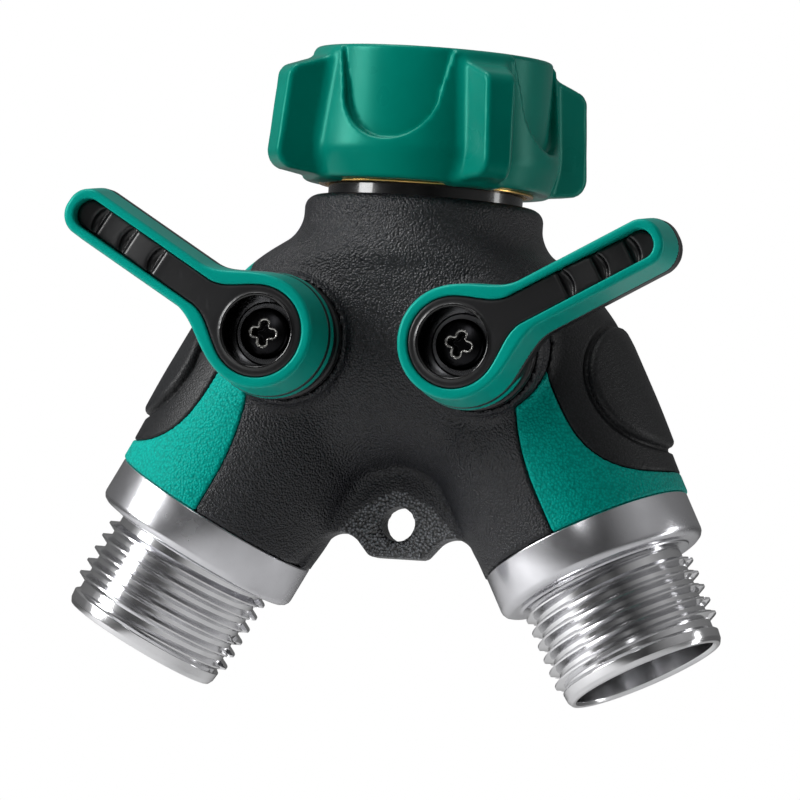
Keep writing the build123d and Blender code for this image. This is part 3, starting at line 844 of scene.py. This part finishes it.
@dataclass
class Grip:
    """Rubber skin of the Y with its side panels, thumb pads and hanging tab."""

    layout: Layout
    leg_r: float = 17.2
    leg_end_r: float = 16.75
    neck_r: float = 18.2
    top_z: float = -15.9
    shoulder_z: float = -21.6
    slope: float = math.radians(35.0)
    belly_z: float = -39.3
    boss_r: float = 9.9
    boss_high: float = 19.7
    boss_gap: float = 0.25
    boss_blend: float = 1.9
    pad_half_angle: float = math.radians(64.5)
    panel_half_angle: float = math.radians(94.0)
    oval_half_angle: float = math.radians(46.0)
    metal_leg_r: float = 14.0
    metal_neck_r: float = 15.0
    metal_boss_r: float = 9.2
    panel_depth: float = 1.6
    line_gap: float = 0.10
    tab_half: float = 2.5
    tab_hole_z: float = -65.15
    tab_hole_r: float = 2.62
    tab_low: float = -70.35
    tab_low_half: float = 4.2
    web_low: float = -66.95
    cell: float = 0.5

    def _leg(self, points: Array, side: Side) -> tuple[Array, Array, Array]:
        """Distance along a leg, distance out from its axis and angle from its outer side."""
        q = self.layout.leg(side).local(points)
        return q[:, 2], np.hypot(q[:, 0], q[:, 1]), np.abs(np.arctan2(q[:, 1], q[:, 0]))

    def y_shape(self, points: Array, leg_r: float, end_r: float, neck_r: float, soft: float) -> Array:
        """Y of neck, belly and legs under the sloping shoulder.

        Args:
            points: Points in the part's frame.
            leg_r: Radius of the legs.
            end_r: Radius of the legs where they end.
            neck_r: Radius of the neck.
            soft: How softly the parts flow together.

        Returns:
            Distance to the shape.
        """
        x, y, z = points.T
        r = np.hypot(x, y)
        middle = np.clip(z, self.belly_z, self.top_z - 4)
        shape = np.sqrt(x * x + y * y + (z - middle) ** 2) - leg_r
        for side in Side:
            s, out, _ = self._leg(points, side)
            tube = out - (leg_r + (end_r - leg_r) * smooth_step(s, 46, 62))
            shape = either(shape, both(tube, -s, 2.0), 5.0 * soft)
        fall = (r - neck_r) * math.sin(self.slope) + (z - self.shoulder_z) * math.cos(self.slope)
        shape = both(shape, fall, 3.0 * soft)
        band = both(r - neck_r, -(z - self.shoulder_z + 4), 0.5)
        shape = either(shape, band, 2.2 * soft)
        return both(shape, z - self.top_z, 2.0 * soft)

    def skin(self, points: Array) -> Array:
        """Outer surface of the moulding before panels and pads are parted off."""
        shape = self.y_shape(points, self.leg_r, self.leg_end_r, self.neck_r, 1.0)
        for side in Side:
            q = self.layout.valve(side).local(points)
            boss = both(np.hypot(q[:, 0], q[:, 1]) - self.boss_r, q[:, 2] - self.boss_high, 1.0)
            shape = either(shape, both(boss, -q[:, 2], 0.2), self.boss_blend)
        shape = either(shape, self.tab(points), 1.6)
        x, y, z = points.T
        hole = np.hypot(x, z - self.tab_hole_z)
        spot = both(self.tab_face(x, z), self.tab_half - np.abs(y), 0)
        shape = without(shape, spot, 0.7)
        shape = without(shape, hole - self.tab_hole_r, 0.35)
        for side in Side:
            s, _, _ = self._leg(points, side)
            shape = both(shape, s - self.layout.leg_end, 0.35)
        return shape

    def tab(self, points: Array) -> Array:
        """Flat web between the legs that carries the hanging eye."""
        x, y, z = np.abs(points[:, 0]), np.abs(points[:, 1]), points[:, 2]
        height = z - self.tab_low
        plate = both(-height, (x - self.tab_low_half - 0.85 * height) * 0.76, 0.5)
        outline = either(plate, self.web_low - z, 1.2)
        outline = np.maximum(outline, np.maximum(z + 40.0, x - 12.5))
        return both(outline, y - self.tab_half, 0.5)

    def tab_face(self, x: Array, z: Array) -> Array:
        """Outline of the tab's flat face: round over the eye, spreading out below it."""
        height = z - self.tab_hole_z
        return both((np.abs(x) + height) * math.sqrt(0.5) - 5.6, height - 5.4, 4.0)

    def inner(self, points: Array) -> Array:
        """Metal body that the rubber is moulded over."""
        shape = self.y_shape(points, self.metal_leg_r, self.metal_leg_r, self.metal_neck_r, 0.2)
        for side in Side:
            q = self.layout.valve(side).local(points)
            shape = np.minimum(shape, np.maximum(np.hypot(q[:, 0], q[:, 1]) - self.metal_boss_r, -q[:, 2]))
        return shape

    def panel_region(self, points: Array, side: Side) -> Array:
        """Outline of the coloured panel on a leg, boss left out."""
        s, out, angle = self._leg(points, side)
        region = oval(s - 57.0, angle * self.leg_r, 32.0, self.panel_half_angle * self.leg_r, 2.15)
        region = np.where(s > 57, (angle - self.panel_half_angle) * self.leg_r, region)
        region = both(region, 6.0 - out, 0)
        q = self.layout.valve(side).local(points)
        return without(region, np.hypot(q[:, 0], q[:, 1]) - self.boss_r - self.boss_gap, 0)

    def pad_region(self, points: Array, side: Side) -> Array:
        """Outline of the thumb pad on a leg."""
        s, out, angle = self._leg(points, side)
        region = oval(s - 43.4, angle * self.leg_r, 15.6, self.pad_half_angle * self.leg_r, 2.8)
        q = self.layout.valve(side).local(points)
        region = without(region, np.hypot(q[:, 0], q[:, 1]) - self.boss_r - self.boss_gap, 0)
        return both(region, 6.0 - out, 0)

    def oval_region(self, points: Array, side: Side) -> Array:
        """Outline of the raised oval on a thumb pad."""
        s, _, angle = self._leg(points, side)
        return oval(s - 45.0, angle * self.leg_r, 10.3, self.oval_half_angle * self.leg_r, 2.2)

    def grip_shape(self, points: Array) -> Array:
        """The black skin: all but panels and pads, hollow for the metal body."""
        skin = self.skin(points)
        shape = skin
        for side in Side:
            gone = np.minimum(self.panel_region(points, side), self.pad_region(points, side)) - self.line_gap
            pocket = np.maximum(gone, -(skin + self.panel_depth))
            shape = without(shape, pocket, 0.3)
        return np.maximum(shape, -self.inner(points))

    def panel_shape(self, points: Array, side: Side) -> Array:
        """The coloured panel, with the thumb pad parted off."""
        skin = self.skin(points)
        shape = both(skin, self.panel_region(points, side), 0.3)
        shape = without(shape, self.pad_region(points, side) - self.line_gap, 0.3)
        return np.maximum(shape, -(skin + self.panel_depth - 0.05))

    def pad_shape(self, points: Array, side: Side) -> Array:
        """The thumb pad with its groove and raised oval."""
        skin = self.skin(points)
        shape = both(skin, self.pad_region(points, side), 0.3)
        island = self.oval_region(points, side)
        groove = np.hypot(np.abs(island + 0.1) * 1.0, skin * 1.2) - 0.62
        shape = without(shape, groove, 0.25)
        dome = both(skin - 0.9, island + 0.35, 0.9)
        shape = either(shape, dome, 0.15)
        return np.maximum(shape, -(skin + self.panel_depth - 0.05))

    def build(self, finishes: Finishes) -> None:
        """Builds and dresses the grip, its panels and its pads.

        Args:
            finishes: The finishes.
        """
        low, high = (-44.5, -21.0, -74.0), (44.5, 19.5, -14.5)
        mesh = surface_of(self.grip_shape, low, high, self.cell)
        made = piece("rubber_grip", mesh, PART_FRAME, finishes.black_rubber)
        self._dress_tab(made, finishes.tab_rubber)
        stand_for(made, "body", ["body_grip"])
        for side in Side:
            x = sorted((side.value * 8.0, side.value * 46.0))
            box = ((x[0], -19.5, -70.0), (x[1], 19.5, -20.0))
            for label, shape, slot, material in (
                ("grip_panel", self.panel_shape, "tpr_green", finishes.green_rubber),
                ("thumb_pad", self.pad_shape, "tpr_black", finishes.pad_rubber),
            ):
                mesh = surface_of(lambda p, f=shape, sd=side: f(p, sd), *box, self.cell * 0.8)
                made = piece(f"{label}_skin_{side.tag}", mesh, PART_FRAME, material)
                stand_for(made, "body", [f"{label}_{side.tag}"])

    def _dress_tab(self, made: bpy.types.Object, material: bpy.types.Material) -> None:
        """Gives the flat of the hanging tab its coarser grain in a lighter black, with a strong painted sparkle
        highlight on the pebble tops.
        """
        made.data.materials.append(material)
        x, y, z = face_centres(made).T
        flat = (np.abs(y) < self.tab_half + 0.35) & (self.tab_face(x, z) < 0.1) & (np.abs(x) < 9.5)
        made.data.polygons.foreach_set("material_index", flat.astype(np.int32))


# ---------------------------------------------------------------- the swivel nut


@dataclass
class SwivelNut:
    """Winged plastic cover on a threaded brass insert."""

    threads: HelixTree
    radius: float = 20.2
    top_radius: float = 18.65
    low: float = -13.7
    high: float = 6.6
    skirt_z: float = -9.4
    skirt_lean: float = math.radians(18.5)
    bore_r: float = 15.3
    first_wing: float = math.radians(39.5)
    wings: int = 4
    scallop_half: float = 7.7
    scallop_flare: float = 0.21
    scallop_low: float = -7.7
    scallop_floor: float = 18.0
    pitch: float = 25.4 / 11.5
    crest_r: float = 12.30
    root_r: float = 13.62
    cell: float = 0.42

    def _fold(self, points: Array, turn: float) -> tuple[Array, Array]:
        """Radial and sideways distance within the nearest of the equal sectors."""
        step = 2 * math.pi / self.wings
        r = np.hypot(points[:, 0], points[:, 1])
        a = np.arctan2(points[:, 1], points[:, 0]) - turn
        a = (a + step / 2) % step - step / 2
        return r * np.cos(a), r * np.sin(a)

    def wing(self, points: Array) -> Array:
        """One of the equal wings: slanted top, leaning tip, rounded heel."""
        rho, side = self._fold(points, self.first_wing)
        side, z = np.abs(side), points[:, 2]
        flank = side - (3.6 - 0.19 * (rho - 18.5))
        tip = rho - (25.0 + (2.65 - z) * 0.083)
        top = (z - (5.8 - 0.346 * (rho - 15.9))) * 0.945
        heel = -(z - (-13.55 + 0.12 * (rho - 18.5)))
        outline = both(both(tip, heel, 2.8), top, 1.3)
        return both(both(outline, flank, 0.7), 16.0 - rho, 0)

    def cover(self, points: Array) -> Array:
        """The plastic cover."""
        r, z = np.hypot(points[:, 0], points[:, 1]), points[:, 2]
        lean = (r - self.radius) * math.cos(self.skirt_lean) - (z - self.skirt_z) * math.sin(self.skirt_lean)
        taper = (self.radius - self.top_radius) / (self.high - self.skirt_z)
        side_wall = r - self.radius + taper * (z - self.skirt_z)
        shape = both(both(side_wall, z - self.high, 1.1), lean, 0.35)
        shape = both(shape, self.low - z, 0.5)
        rho, side = self._fold(points, self.first_wing + math.pi / self.wings)
        centre = self.scallop_low + self.scallop_half
        reach = self.scallop_half + self.scallop_flare * np.maximum(z - centre, 0)
        across = np.hypot(side, np.minimum(z - centre, 0)) - reach
        recess = both(across, self.scallop_floor - r, 0.5)
        shape = without(shape, recess, 0.45)
        shape = either(shape, self.wing(points), 1.3)
        return without(shape, r - self.bore_r, 0.3)

    def build(self, finishes: Finishes) -> None:
        """Builds and dresses the cover and the insert.

        Args:
            finishes: The finishes.
        """
        mesh = surface_of(self.cover, (-22.5, -22.5, -14.5), (22.5, 22.5, 7.8), self.cell)
        made = piece("nut_cover_winged", mesh, PART_FRAME, finishes.green_gloss)
        stand_for(made, "swivel_nut", ["nut_cover"])
        profile = rounded(
            [
                (9.58, -13.6, 0.2),
                (15.3, -13.6, 0.05),
                (15.45, -14.15, 0.1),
                (16.45, -14.15, 0.2),
                (16.45, -13.72, 0.1),
                (15.28, -13.5, 0.05),
                (15.28, 4.9, 0.2),
                (14.4, 4.9, 0.15),
                (self.root_r, 4.1, 0.1),
                (self.root_r, -4.4, 0.1),
                (13.9, -4.5, 0.05),
                (13.9, -10.5, 0.2),
                (9.58, -10.5, 0.2),
            ]
        )
        turns = 4.2
        ridge = self.threads.mesh(
            {
                "Turns": turns,
                "Pitch": self.pitch * MM,
                "Radius": self.root_r * MM,
                "Start": -turns * self.pitch / 2 * MM,
                "Base": 0.86 * self.pitch * MM,
                "Crest": self.pitch / 7 * MM,
                "Height": -(self.root_r - self.crest_r) * MM,
                "Fade": 0.25,
                "Parting Width": -0.01,
            }
        )
        mesh = joined(lathe(profile), ridge)
        made = piece("nut_insert_threaded", mesh, PART_FRAME, finishes.brass, sharp_angle=40)
        stand_for(made, "swivel_nut", ["nut_insert"])


# ---------------------------------------------------------------- levers


@dataclass
class Lever:
    """Lever of one valve: black core with an inlay, green sleeve, sunk screw."""

    side: Side
    layout: Layout
    hub_low: float = 24.5
    arm_low: float = 25.4
    plate: float = 2.6
    sleeve_low: float = 25.3
    high: float = 35.0
    hub_r: float = 9.4
    arm_half: float = 4.35
    tip: float = 36.4
    inlay_hub_r: float = 7.0
    inlay_half: float = 2.3
    inlay_tip: float = 34.2
    well_r: float = 5.35
    well_floor: float = 28.0
    screw_top: float = 31.1
    # width and depth of the bare steel band on the recess edges: partly wear, partly a painted highlight
    edge_wear: float = 0.28
    wear_depth: float = 1.0
    draft: float = math.tan(math.radians(6.0))
    scoops: tuple[float, ...] = (19.6, 25.2, 30.6)
    scoop_half: float = 0.85
    scoop_width: float = 2.5
    scoop_bow: float = 0.08
    screw_turn: float = 0.0
    cell: float = 0.3

    @staticmethod
    def outline(
        u: Array, v: Array, hub_r: float, half: float, tip: float, corner: float, soft: float
    ) -> Array:
        """Plan outline of hub and arm.

        Args:
            u: Distance along the arm.
            v: Distance across it.
            hub_r: Hub radius.
            half: Half width of the arm.
            tip: Length from the hub's centre.
            corner: Corner radius of the tip.
            soft: Radius of the hollows between hub and arm.

        Returns:
            Distance to the outline.
        """
        a = np.abs(u - tip / 2) - (tip / 2 - corner)
        b = np.abs(v) - (half - corner)
        arm = np.hypot(np.maximum(a, 0), np.maximum(b, 0)) + np.minimum(np.maximum(a, b), 0) - corner
        return either(np.hypot(u, v) - hub_r, arm, soft)

    def inlay(self, u: Array, v: Array) -> Array:
        """Plan outline of the black inlay."""
        return self.outline(u, v, self.inlay_hub_r, self.inlay_half, self.inlay_tip, 2.2, 4.0)

    def sleeve(self, points: Array) -> Array:
        """The green sleeve."""
        u, v, w = points.T
        foot = self.arm_low + self.plate
        plan = self.outline(u, v, self.hub_r - 0.1, self.arm_half, self.tip, 4.0, 4.5)
        shape = both(plan + self.draft * (w - foot), w - self.high, 0.55)
        shape = both(shape, foot - w, 0.12)
        skirt = both(np.hypot(u, v) - self.hub_r + 0.1 + self.draft * (w - foot), w - foot - 1, 0)
        shape = np.minimum(shape, both(skirt, self.sleeve_low - w, 0.3))
        return without(shape, self.inlay(u, v) - 0.04, 0.22)

    def core(self, points: Array) -> Array:
        """The black core: hub disc, base plate, inlay with its trough and scoops, and well."""
        u, v, w = points.T
        r = np.hypot(u, v)
        foot = self.arm_low + self.plate
        hub = both(r - self.hub_r + 0.3, np.maximum(self.hub_low - w, w - foot + 0.6), 0.3)
        base = self.outline(u, v, self.hub_r + 0.02, self.arm_half + 0.02, self.tip + 0.02, 4.0, 4.5)
        plate = both(base, np.maximum(self.arm_low - w, w - foot), 0.3)
        shape = np.minimum(hub, plate)
        # the inlay falls gently away from the hub, then drops to a trough with three scoops
        level = self.high - 0.2 - 0.05 * np.clip(u - 6.5, 0, 11) - 1.2 * smooth_step(u, 18.0, 30.0)
        inlay = both(both(self.inlay(u, v), w - level, 0.35), self.arm_low - w, 0)
        for reach in self.scoops:
            along = (u - reach + self.scoop_bow * v * v) / self.scoop_half
            bowl = np.sqrt(along**2 + (v / self.scoop_width) ** 2 + (w - level) ** 2 + 1e-9)
            inlay = without(inlay, (bowl - 1) * self.scoop_half, 0.28)
        shape = np.minimum(shape, inlay)
        lip = both(r - self.well_r - 0.5, w - self.high - 0.1, 0.4)
        shape = np.minimum(shape, np.maximum(lip, self.high - 3 - w))
        well = np.maximum(r - self.well_r + 0.10 * (self.high - w), self.well_floor - w)
        shape = without(shape, well, 0.35)
        x, y = self._square_axes(u, v)
        return np.maximum(shape, -(np.maximum(np.abs(x), np.abs(y)) - 2.85))

    def _square_axes(self, u: Array, v: Array) -> tuple[Array, Array]:
        """Coordinates along the stem's square, which is square to the leg."""
        turn = self.layout.lever_lift
        return u * math.cos(turn) - v * math.sin(turn), u * math.sin(turn) + v * math.cos(turn)

    def screw(self, points: Array) -> Array:
        """Pan head screw with a cross recess."""
        u, v, w = points.T
        r = np.hypot(u, v)
        seat = self.well_floor + 0.8
        top = self.screw_top
        crown = w - (top - 0.05 * r * r)
        head = both(both(r - 3.9, crown, 0.7), seat - w, 0)
        shank = both(r - 2.0, 22.2 - w, 0.3)
        shape = np.minimum(head, np.maximum(shank, w - seat - 0.7))
        depth = top - w
        return without(shape, np.maximum(self.cross(u, v, depth), top - 1.9 - w), 0.2)

    @staticmethod
    def cross(u: Array, v: Array, depth: Array) -> Array:
        """Outline of the tapering cross recess at a depth under the crown."""
        arm_long, arm_wide = 1.98 - 0.3 * depth, 0.58 - 0.08 * depth
        along = both(np.abs(u) - arm_long, np.abs(v) - arm_wide, 0.45)
        return either(along, both(np.abs(v) - arm_long, np.abs(u) - arm_wide, 0.45), 0.55)

    def build(self, finishes: Finishes) -> None:
        """Builds and dresses the lever.

        Args:
            finishes: The finishes.
        """
        tag, body = self.side.tag, f"lever_{self.side.tag}"
        frame = self.layout.lever(self.side)
        box = ((-10.6, -10.6, 23.8), (37.6, 10.6, 35.9))
        for name, shape, slot, material in (
            ("lever_core", self.core, "abs_black", finishes.black_satin),
            ("lever_sleeve", self.sleeve, "lever_green", finishes.green_satin),
        ):
            made = piece(f"{name}_moulded_{tag}", surface_of(shape, *box, self.cell), frame, material)
            if name == "lever_core":
                self._gloss_well(made, frame, finishes.black_gloss)
            stand_for(made, body, [f"{name}_{tag}"])
        mesh = surface_of(self.screw, (-4.6, -4.6, 21.6), (4.6, 4.6, 31.9), 0.15)
        turned = self.layout.turned(self.side, self.screw_turn)
        made = piece(f"lever_screw_pan_head_{tag}", mesh, turned, finishes.screw_steel)
        # bare steel on the top edges of the cross recess: partly real wear, partly a painted highlight along the
        # edges
        made.data.materials.append(finishes.bare_steel)
        q = turned.local(face_centres(made))
        depth = self.screw_top - q[:, 2]
        edge = np.abs(self.cross(q[:, 0], q[:, 1], depth) - 0.02)
        wear_and_highlight_faces = (edge < self.edge_wear) & (depth < self.wear_depth)
        made.data.polygons.foreach_set("material_index", wear_and_highlight_faces.astype(np.int32))
        stand_for(made, body, [f"lever_screw_{tag}"])

    def _gloss_well(self, made: bpy.types.Object, frame: LocalFrame, material: bpy.types.Material) -> None:
        """Polishes the well round the screw."""
        made.data.materials.append(material)
        q = frame.local(face_centres(made))
        well = np.hypot(q[:, 0], q[:, 1]) < self.well_r + 0.35
        made.data.polygons.foreach_set("material_index", well.astype(np.int32))


# ---------------------------------------------------------------- valve parts and outlets


@dataclass
class Gland:
    """Black cap under the lever that holds the stem in."""

    side: Side
    layout: Layout
    cap_r: float = 9.3
    cap_low: float = 20.0
    cap_high: float = 24.0
    plug_r: float = 7.0
    plug_low: float = 14.6
    bore_r: float = 4.02

    def build(self, finishes: Finishes) -> None:
        """Builds and dresses the cap.

        Args:
            finishes: The finishes.
        """
        profile = rounded(
            [
                (self.bore_r, self.plug_low, 0.1),
                (self.plug_r, self.plug_low, 0.3),
                (self.plug_r, self.cap_low, 0.0),
                (self.cap_r, self.cap_low, 0.3),
                (self.cap_r, self.cap_low + 1.6, 0.2),
                (self.cap_r - 0.35, self.cap_low + 1.8, 0.1),
                (self.cap_r - 0.35, self.cap_high, 0.7),
                (self.bore_r, self.cap_high, 0.3),
            ]
        )
        frame = self.layout.valve(self.side)
        made = piece(
            f"gland_cap_{self.side.tag}", lathe(profile, 128), frame, finishes.black_satin, sharp_angle=35
        )
        stand_for(made, "body", [f"gland_{self.side.tag}"])


@dataclass
class Outlet:
    """Plated outlet: satin collar, hose thread with a mould parting line, open mouth."""

    side: Side
    layout: Layout
    threads: HelixTree
    collar_start: float = 62.05
    collar_end: float = 69.0
    collar_r: float = 16.45
    end: float = 85.2
    root_r: float = 12.15
    crest_r: float = 13.45
    lead_r: float = 12.75
    mouth_r: float = 11.2
    throat_r: float = 8.0
    shank_r: float = 12.0
    shank_start: float = 41.9
    pitch: float = 25.4 / 11.5
    parting: float = 1.3

    def build(self, finishes: Finishes) -> None:
        """Builds and dresses the outlet.

        Args:
            finishes: The finishes.
        """
        frame = self.layout.leg(self.side)
        collar = rounded(
            [
                (self.throat_r, self.shank_start, 0.2),
                (self.shank_r, self.shank_start, 0.3),
                (self.shank_r, 49.9, 0.1),
                (9.8, 49.9, 0.1),
                (9.8, 52.1, 0.1),
                (self.shank_r, 52.1, 0.1),
                (self.shank_r, self.collar_start, 0.0),
                (self.collar_r, self.collar_start, 0.35),
                (self.collar_r, self.collar_end, 1.3),
                (13.9, self.collar_end, 0.25),
                (13.7, self.collar_end + 0.35, 0.2),
                (self.root_r - 0.2, self.collar_end + 0.4, 0.1),
                (self.root_r - 0.6, self.collar_end - 0.6, 0.0),
                (self.mouth_r + 0.2, self.collar_end - 0.6, 0.0),
                (self.mouth_r, self.collar_end - 1.0, 0.0),
                (self.mouth_r, 60.0, 0.2),
                (self.throat_r, 59.0, 0.3),
            ]
        )
        tag = self.side.tag
        made = piece(f"outlet_collar_{tag}", lathe(collar, 192), frame, finishes.nickel, sharp_angle=32)
        stand_for(made, "body", [f"outlet_nipple_{tag}"])
        lead = self.end - 2.3
        tube = rounded(
            [
                (self.mouth_r, self.collar_end - 0.9, 0.0),
                (self.root_r, self.collar_end - 0.9, 0.0),
                (self.root_r, lead - 0.3, 0.15),
                (self.lead_r, lead + 0.2, 0.2),
                (self.lead_r - 0.15, self.end - 0.75, 0.3),
                (self.root_r + 0.05, self.end, 0.25),
                (self.mouth_r + 0.35, self.end, 0.15),
                (self.mouth_r, self.end - 0.5, 0.2),
            ]
        )
        turns = (lead - 0.2 - self.collar_end - 0.5) / self.pitch
        ridge = self.threads.mesh(
            {
                "Turns": turns,
                "Pitch": self.pitch * MM,
                "Radius": self.root_r * MM,
                "Start": (self.collar_end + 0.6) * MM,
                "Base": 0.9 * self.pitch * MM,
                "Crest": self.pitch / 9 * MM,
                "Height": (self.crest_r - self.root_r) * MM,
                "Fade": 0.35,
                "Parting Width": self.parting * MM,
            }
        )
        mesh = joined(lathe(tube, 192), ridge)
        made = piece(f"outlet_thread_{tag}", mesh, frame, finishes.nickel_thread, sharp_angle=35)
        stand_for(made, "body", [])


def dress_insides(frame: dict, finishes: Finishes) -> None:
    """Dresses the CAD nodes that stay: the metal body, seals, seats, balls and stems.

    Args:
        frame: The loaded frame.
        finishes: The finishes.
    """
    dress_node(frame, "body_casting", finishes.black_paint)
    dress_node(frame, "retaining_ring", finishes.spring_steel)
    dress_node(frame, "inlet_washer", finishes.seal_rubber)
    for side in Side:
        for name, material in (
            ("valve_ball", finishes.chrome),
            ("inner_seat", finishes.ptfe),
            ("outer_seat", finishes.ptfe),
            ("valve_stem", finishes.brass),
            ("stem_seals", finishes.seal_rubber),
            ("nipple_seal", finishes.seal_rubber),
            ("lever_washer", finishes.spring_steel),
        ):
            dress_node(frame, f"{name}_{side.tag}", material)


# ---------------------------------------------------------------- studio


@dataclass
class Studio:
    """Pale floor, soft lights and the camera."""

    azimuth: float = math.radians(15.3)
    elevation: float = math.radians(-3.1)
    roll: float = math.radians(4.2)
    distance: float = 2.0
    frame_width: float = 800 / 6.566
    target: tuple[float, float, float] = (-1.67, 0.0, -46.15)
    floor_z: float = -0.2
    floor_reach: float = 3.0
    room_level: float = 0.17
    mirror_level: float = 0.5
    # share of a turn from -X, by way of -Y, to -X again, and the grey of the room there
    room: tuple[tuple[float, float], ...] = (
        (0.02, 0.7),
        (0.12, 1.0),
        (0.19, 0.25),
        (0.25, 0.3),
        (0.31, 0.12),
        (0.38, 0.5),
        (0.46, 0.8),
        (0.60, 0.4),
        (0.90, 0.4),
    )

    # share of the height from low to overhead, and how bright the room is there
    ceiling: tuple[tuple[float, float], ...] = ((0.0, 0.75), (0.3, 0.55), (1.0, 1.3))

    def camera(self) -> None:
        """Makes the camera, a long lens a little below and to the right of the object."""
        data = bpy.data.cameras.new("camera")
        data.sensor_width = 36.0
        data.lens = data.sensor_width * self.distance / (self.frame_width * MM)
        data.clip_start, data.clip_end = 0.05, 20.0
        camera = bpy.data.objects.new("camera", data)
        bpy.context.scene.collection.objects.link(camera)
        back = Vector(
            (
                math.sin(self.azimuth) * math.cos(self.elevation),
                -math.cos(self.azimuth) * math.cos(self.elevation),
                math.sin(self.elevation),
            )
        )
        camera.location = Vector(self.target) * MM + back * self.distance
        camera.rotation_mode = "QUATERNION"
        camera.rotation_quaternion = Quaternion(back, self.roll) @ back.to_track_quat("Z", "Y")
        bpy.context.scene.camera = camera

    def light(self, name: str, place: tuple, aim: tuple, size: tuple, power: float) -> None:
        """Adds a soft rectangular light.

        Args:
            name: Its name.
            place: Where it stands, in metres.
            aim: What it faces, in metres.
            size: Its width and height, in metres.
            power: Its power in watts.
        """
        data = bpy.data.lights.new(name, "AREA")
        data.shape = "RECTANGLE"
        data.size, data.size_y = size
        data.energy = power
        lamp = bpy.data.objects.new(name, data)
        bpy.context.scene.collection.objects.link(lamp)
        lamp.location = place
        lamp.rotation_euler = (Vector(aim) - Vector(place)).to_track_quat("-Z", "Y").to_euler()

    def floor(self) -> None:
        """Adds the pale floor."""
        material, tree, shader = new_material("pale_floor")
        shader.inputs["Base Color"].default_value = srgb("#f4f4f4")
        shader.inputs["Roughness"].default_value = 0.8
        data = bpy.data.meshes.new("floor")
        reach, low = self.floor_reach, self.floor_z
        corners = ((-reach, -reach, low), (reach, -reach, low), (reach, reach, low), (-reach, reach, low))
        data.from_pydata(corners, [], [(0, 1, 2, 3)])
        data.materials.append(material)
        floor = bpy.data.objects.new("floor", data)
        bpy.context.scene.collection.objects.link(floor)

    def build(self) -> None:
        """Builds camera, floor, lights and surroundings."""
        self.camera()
        self.floor()
        centre = (0.0, 0.0, -0.035)
        self.light("key_left", (-0.60, -0.34, 0.20), centre, (0.26, 0.36), 4.6)
        self.light("rim_right", (0.50, 0.16, -0.02), centre, (0.08, 0.40), 0.6)
        self.light("top_soft", (-0.22, -0.10, 0.55), centre, (0.40, 0.25), 2.0)
        self.light("front_glint", (0.0, -0.8, 0.35), centre, (0.12, 0.25), 0.4)
        self.surroundings()
        bpy.context.scene.view_settings.view_transform = "Standard"

    def surroundings(self) -> None:
        """Adds a white backdrop and, for reflections, a room of soft panels and dark gaps."""
        world = bpy.data.worlds.new("studio")
        world.use_nodes = True
        tree = world.node_tree
        tree.nodes.clear()
        direction = node(tree, "ShaderNodeTexCoord").outputs["Generated"]
        split = node(tree, "ShaderNodeSeparateXYZ", None, Vector=direction).outputs
        turn = node(tree, "ShaderNodeMath", {"operation": "ARCTAN2"}, i0=split["Y"], i1=split["X"])
        share = node(
            tree, "ShaderNodeMapRange", None, Value=turn.outputs[0], From_Min=-math.pi, From_Max=math.pi
        )
        grey = [(place, (level, level, level, 1.0)) for place, level in self.room]
        around = ramp(tree, share.outputs[0], grey)
        high = node(tree, "ShaderNodeMapRange", None, Value=split["Z"], From_Min=-0.3, From_Max=0.8)
        lift = [(place, (level, level, level, 1.0)) for place, level in self.ceiling]
        above = ramp(tree, high.outputs[0], lift)
        mixing = {"data_type": "RGBA", "blend_type": "MULTIPLY"}
        room = node(tree, "ShaderNodeMix", mixing, Factor=1.0, i6=around, i7=above).outputs[2]
        seen = node(tree, "ShaderNodeBackground", None, Color=srgb("#ffffff"), Strength=1.0)
        felt = node(tree, "ShaderNodeBackground", None, Color=room, Strength=self.room_level).outputs[0]
        mirrored = node(tree, "ShaderNodeBackground", None, Color=room, Strength=self.mirror_level).outputs[0]
        ray = node(tree, "ShaderNodeLightPath").outputs
        glossy, camera = ray["Is Glossy Ray"], ray["Is Camera Ray"]
        lit = node(tree, "ShaderNodeMixShader", None, i0=glossy, i1=felt, i2=mirrored).outputs[0]
        chosen = node(tree, "ShaderNodeMixShader", None, i0=camera, i1=lit, i2=seen.outputs[0])
        node(tree, "ShaderNodeOutputWorld", None, Surface=chosen.outputs[0])
        bpy.context.scene.world = world


def main() -> None:
    """Builds the splitter's pieces in order and reports each."""
    logging.basicConfig(level=logging.INFO, format="%(message)s")
    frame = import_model()
    layout = Layout()
    Studio().build()
    finishes = Finishes()
    threads = HelixTree()
    dress_insides(frame, finishes)
    Grip(layout).build(finishes)
    SwivelNut(threads).build(finishes)
    for side in Side:
        Gland(side, layout).build(finishes)
        Outlet(side, layout, threads).build(finishes)
        Lever(side, layout, screw_turn=math.radians(SCREW_TURNS[side])).build(finishes)


if __name__ == "__main__":
    main()
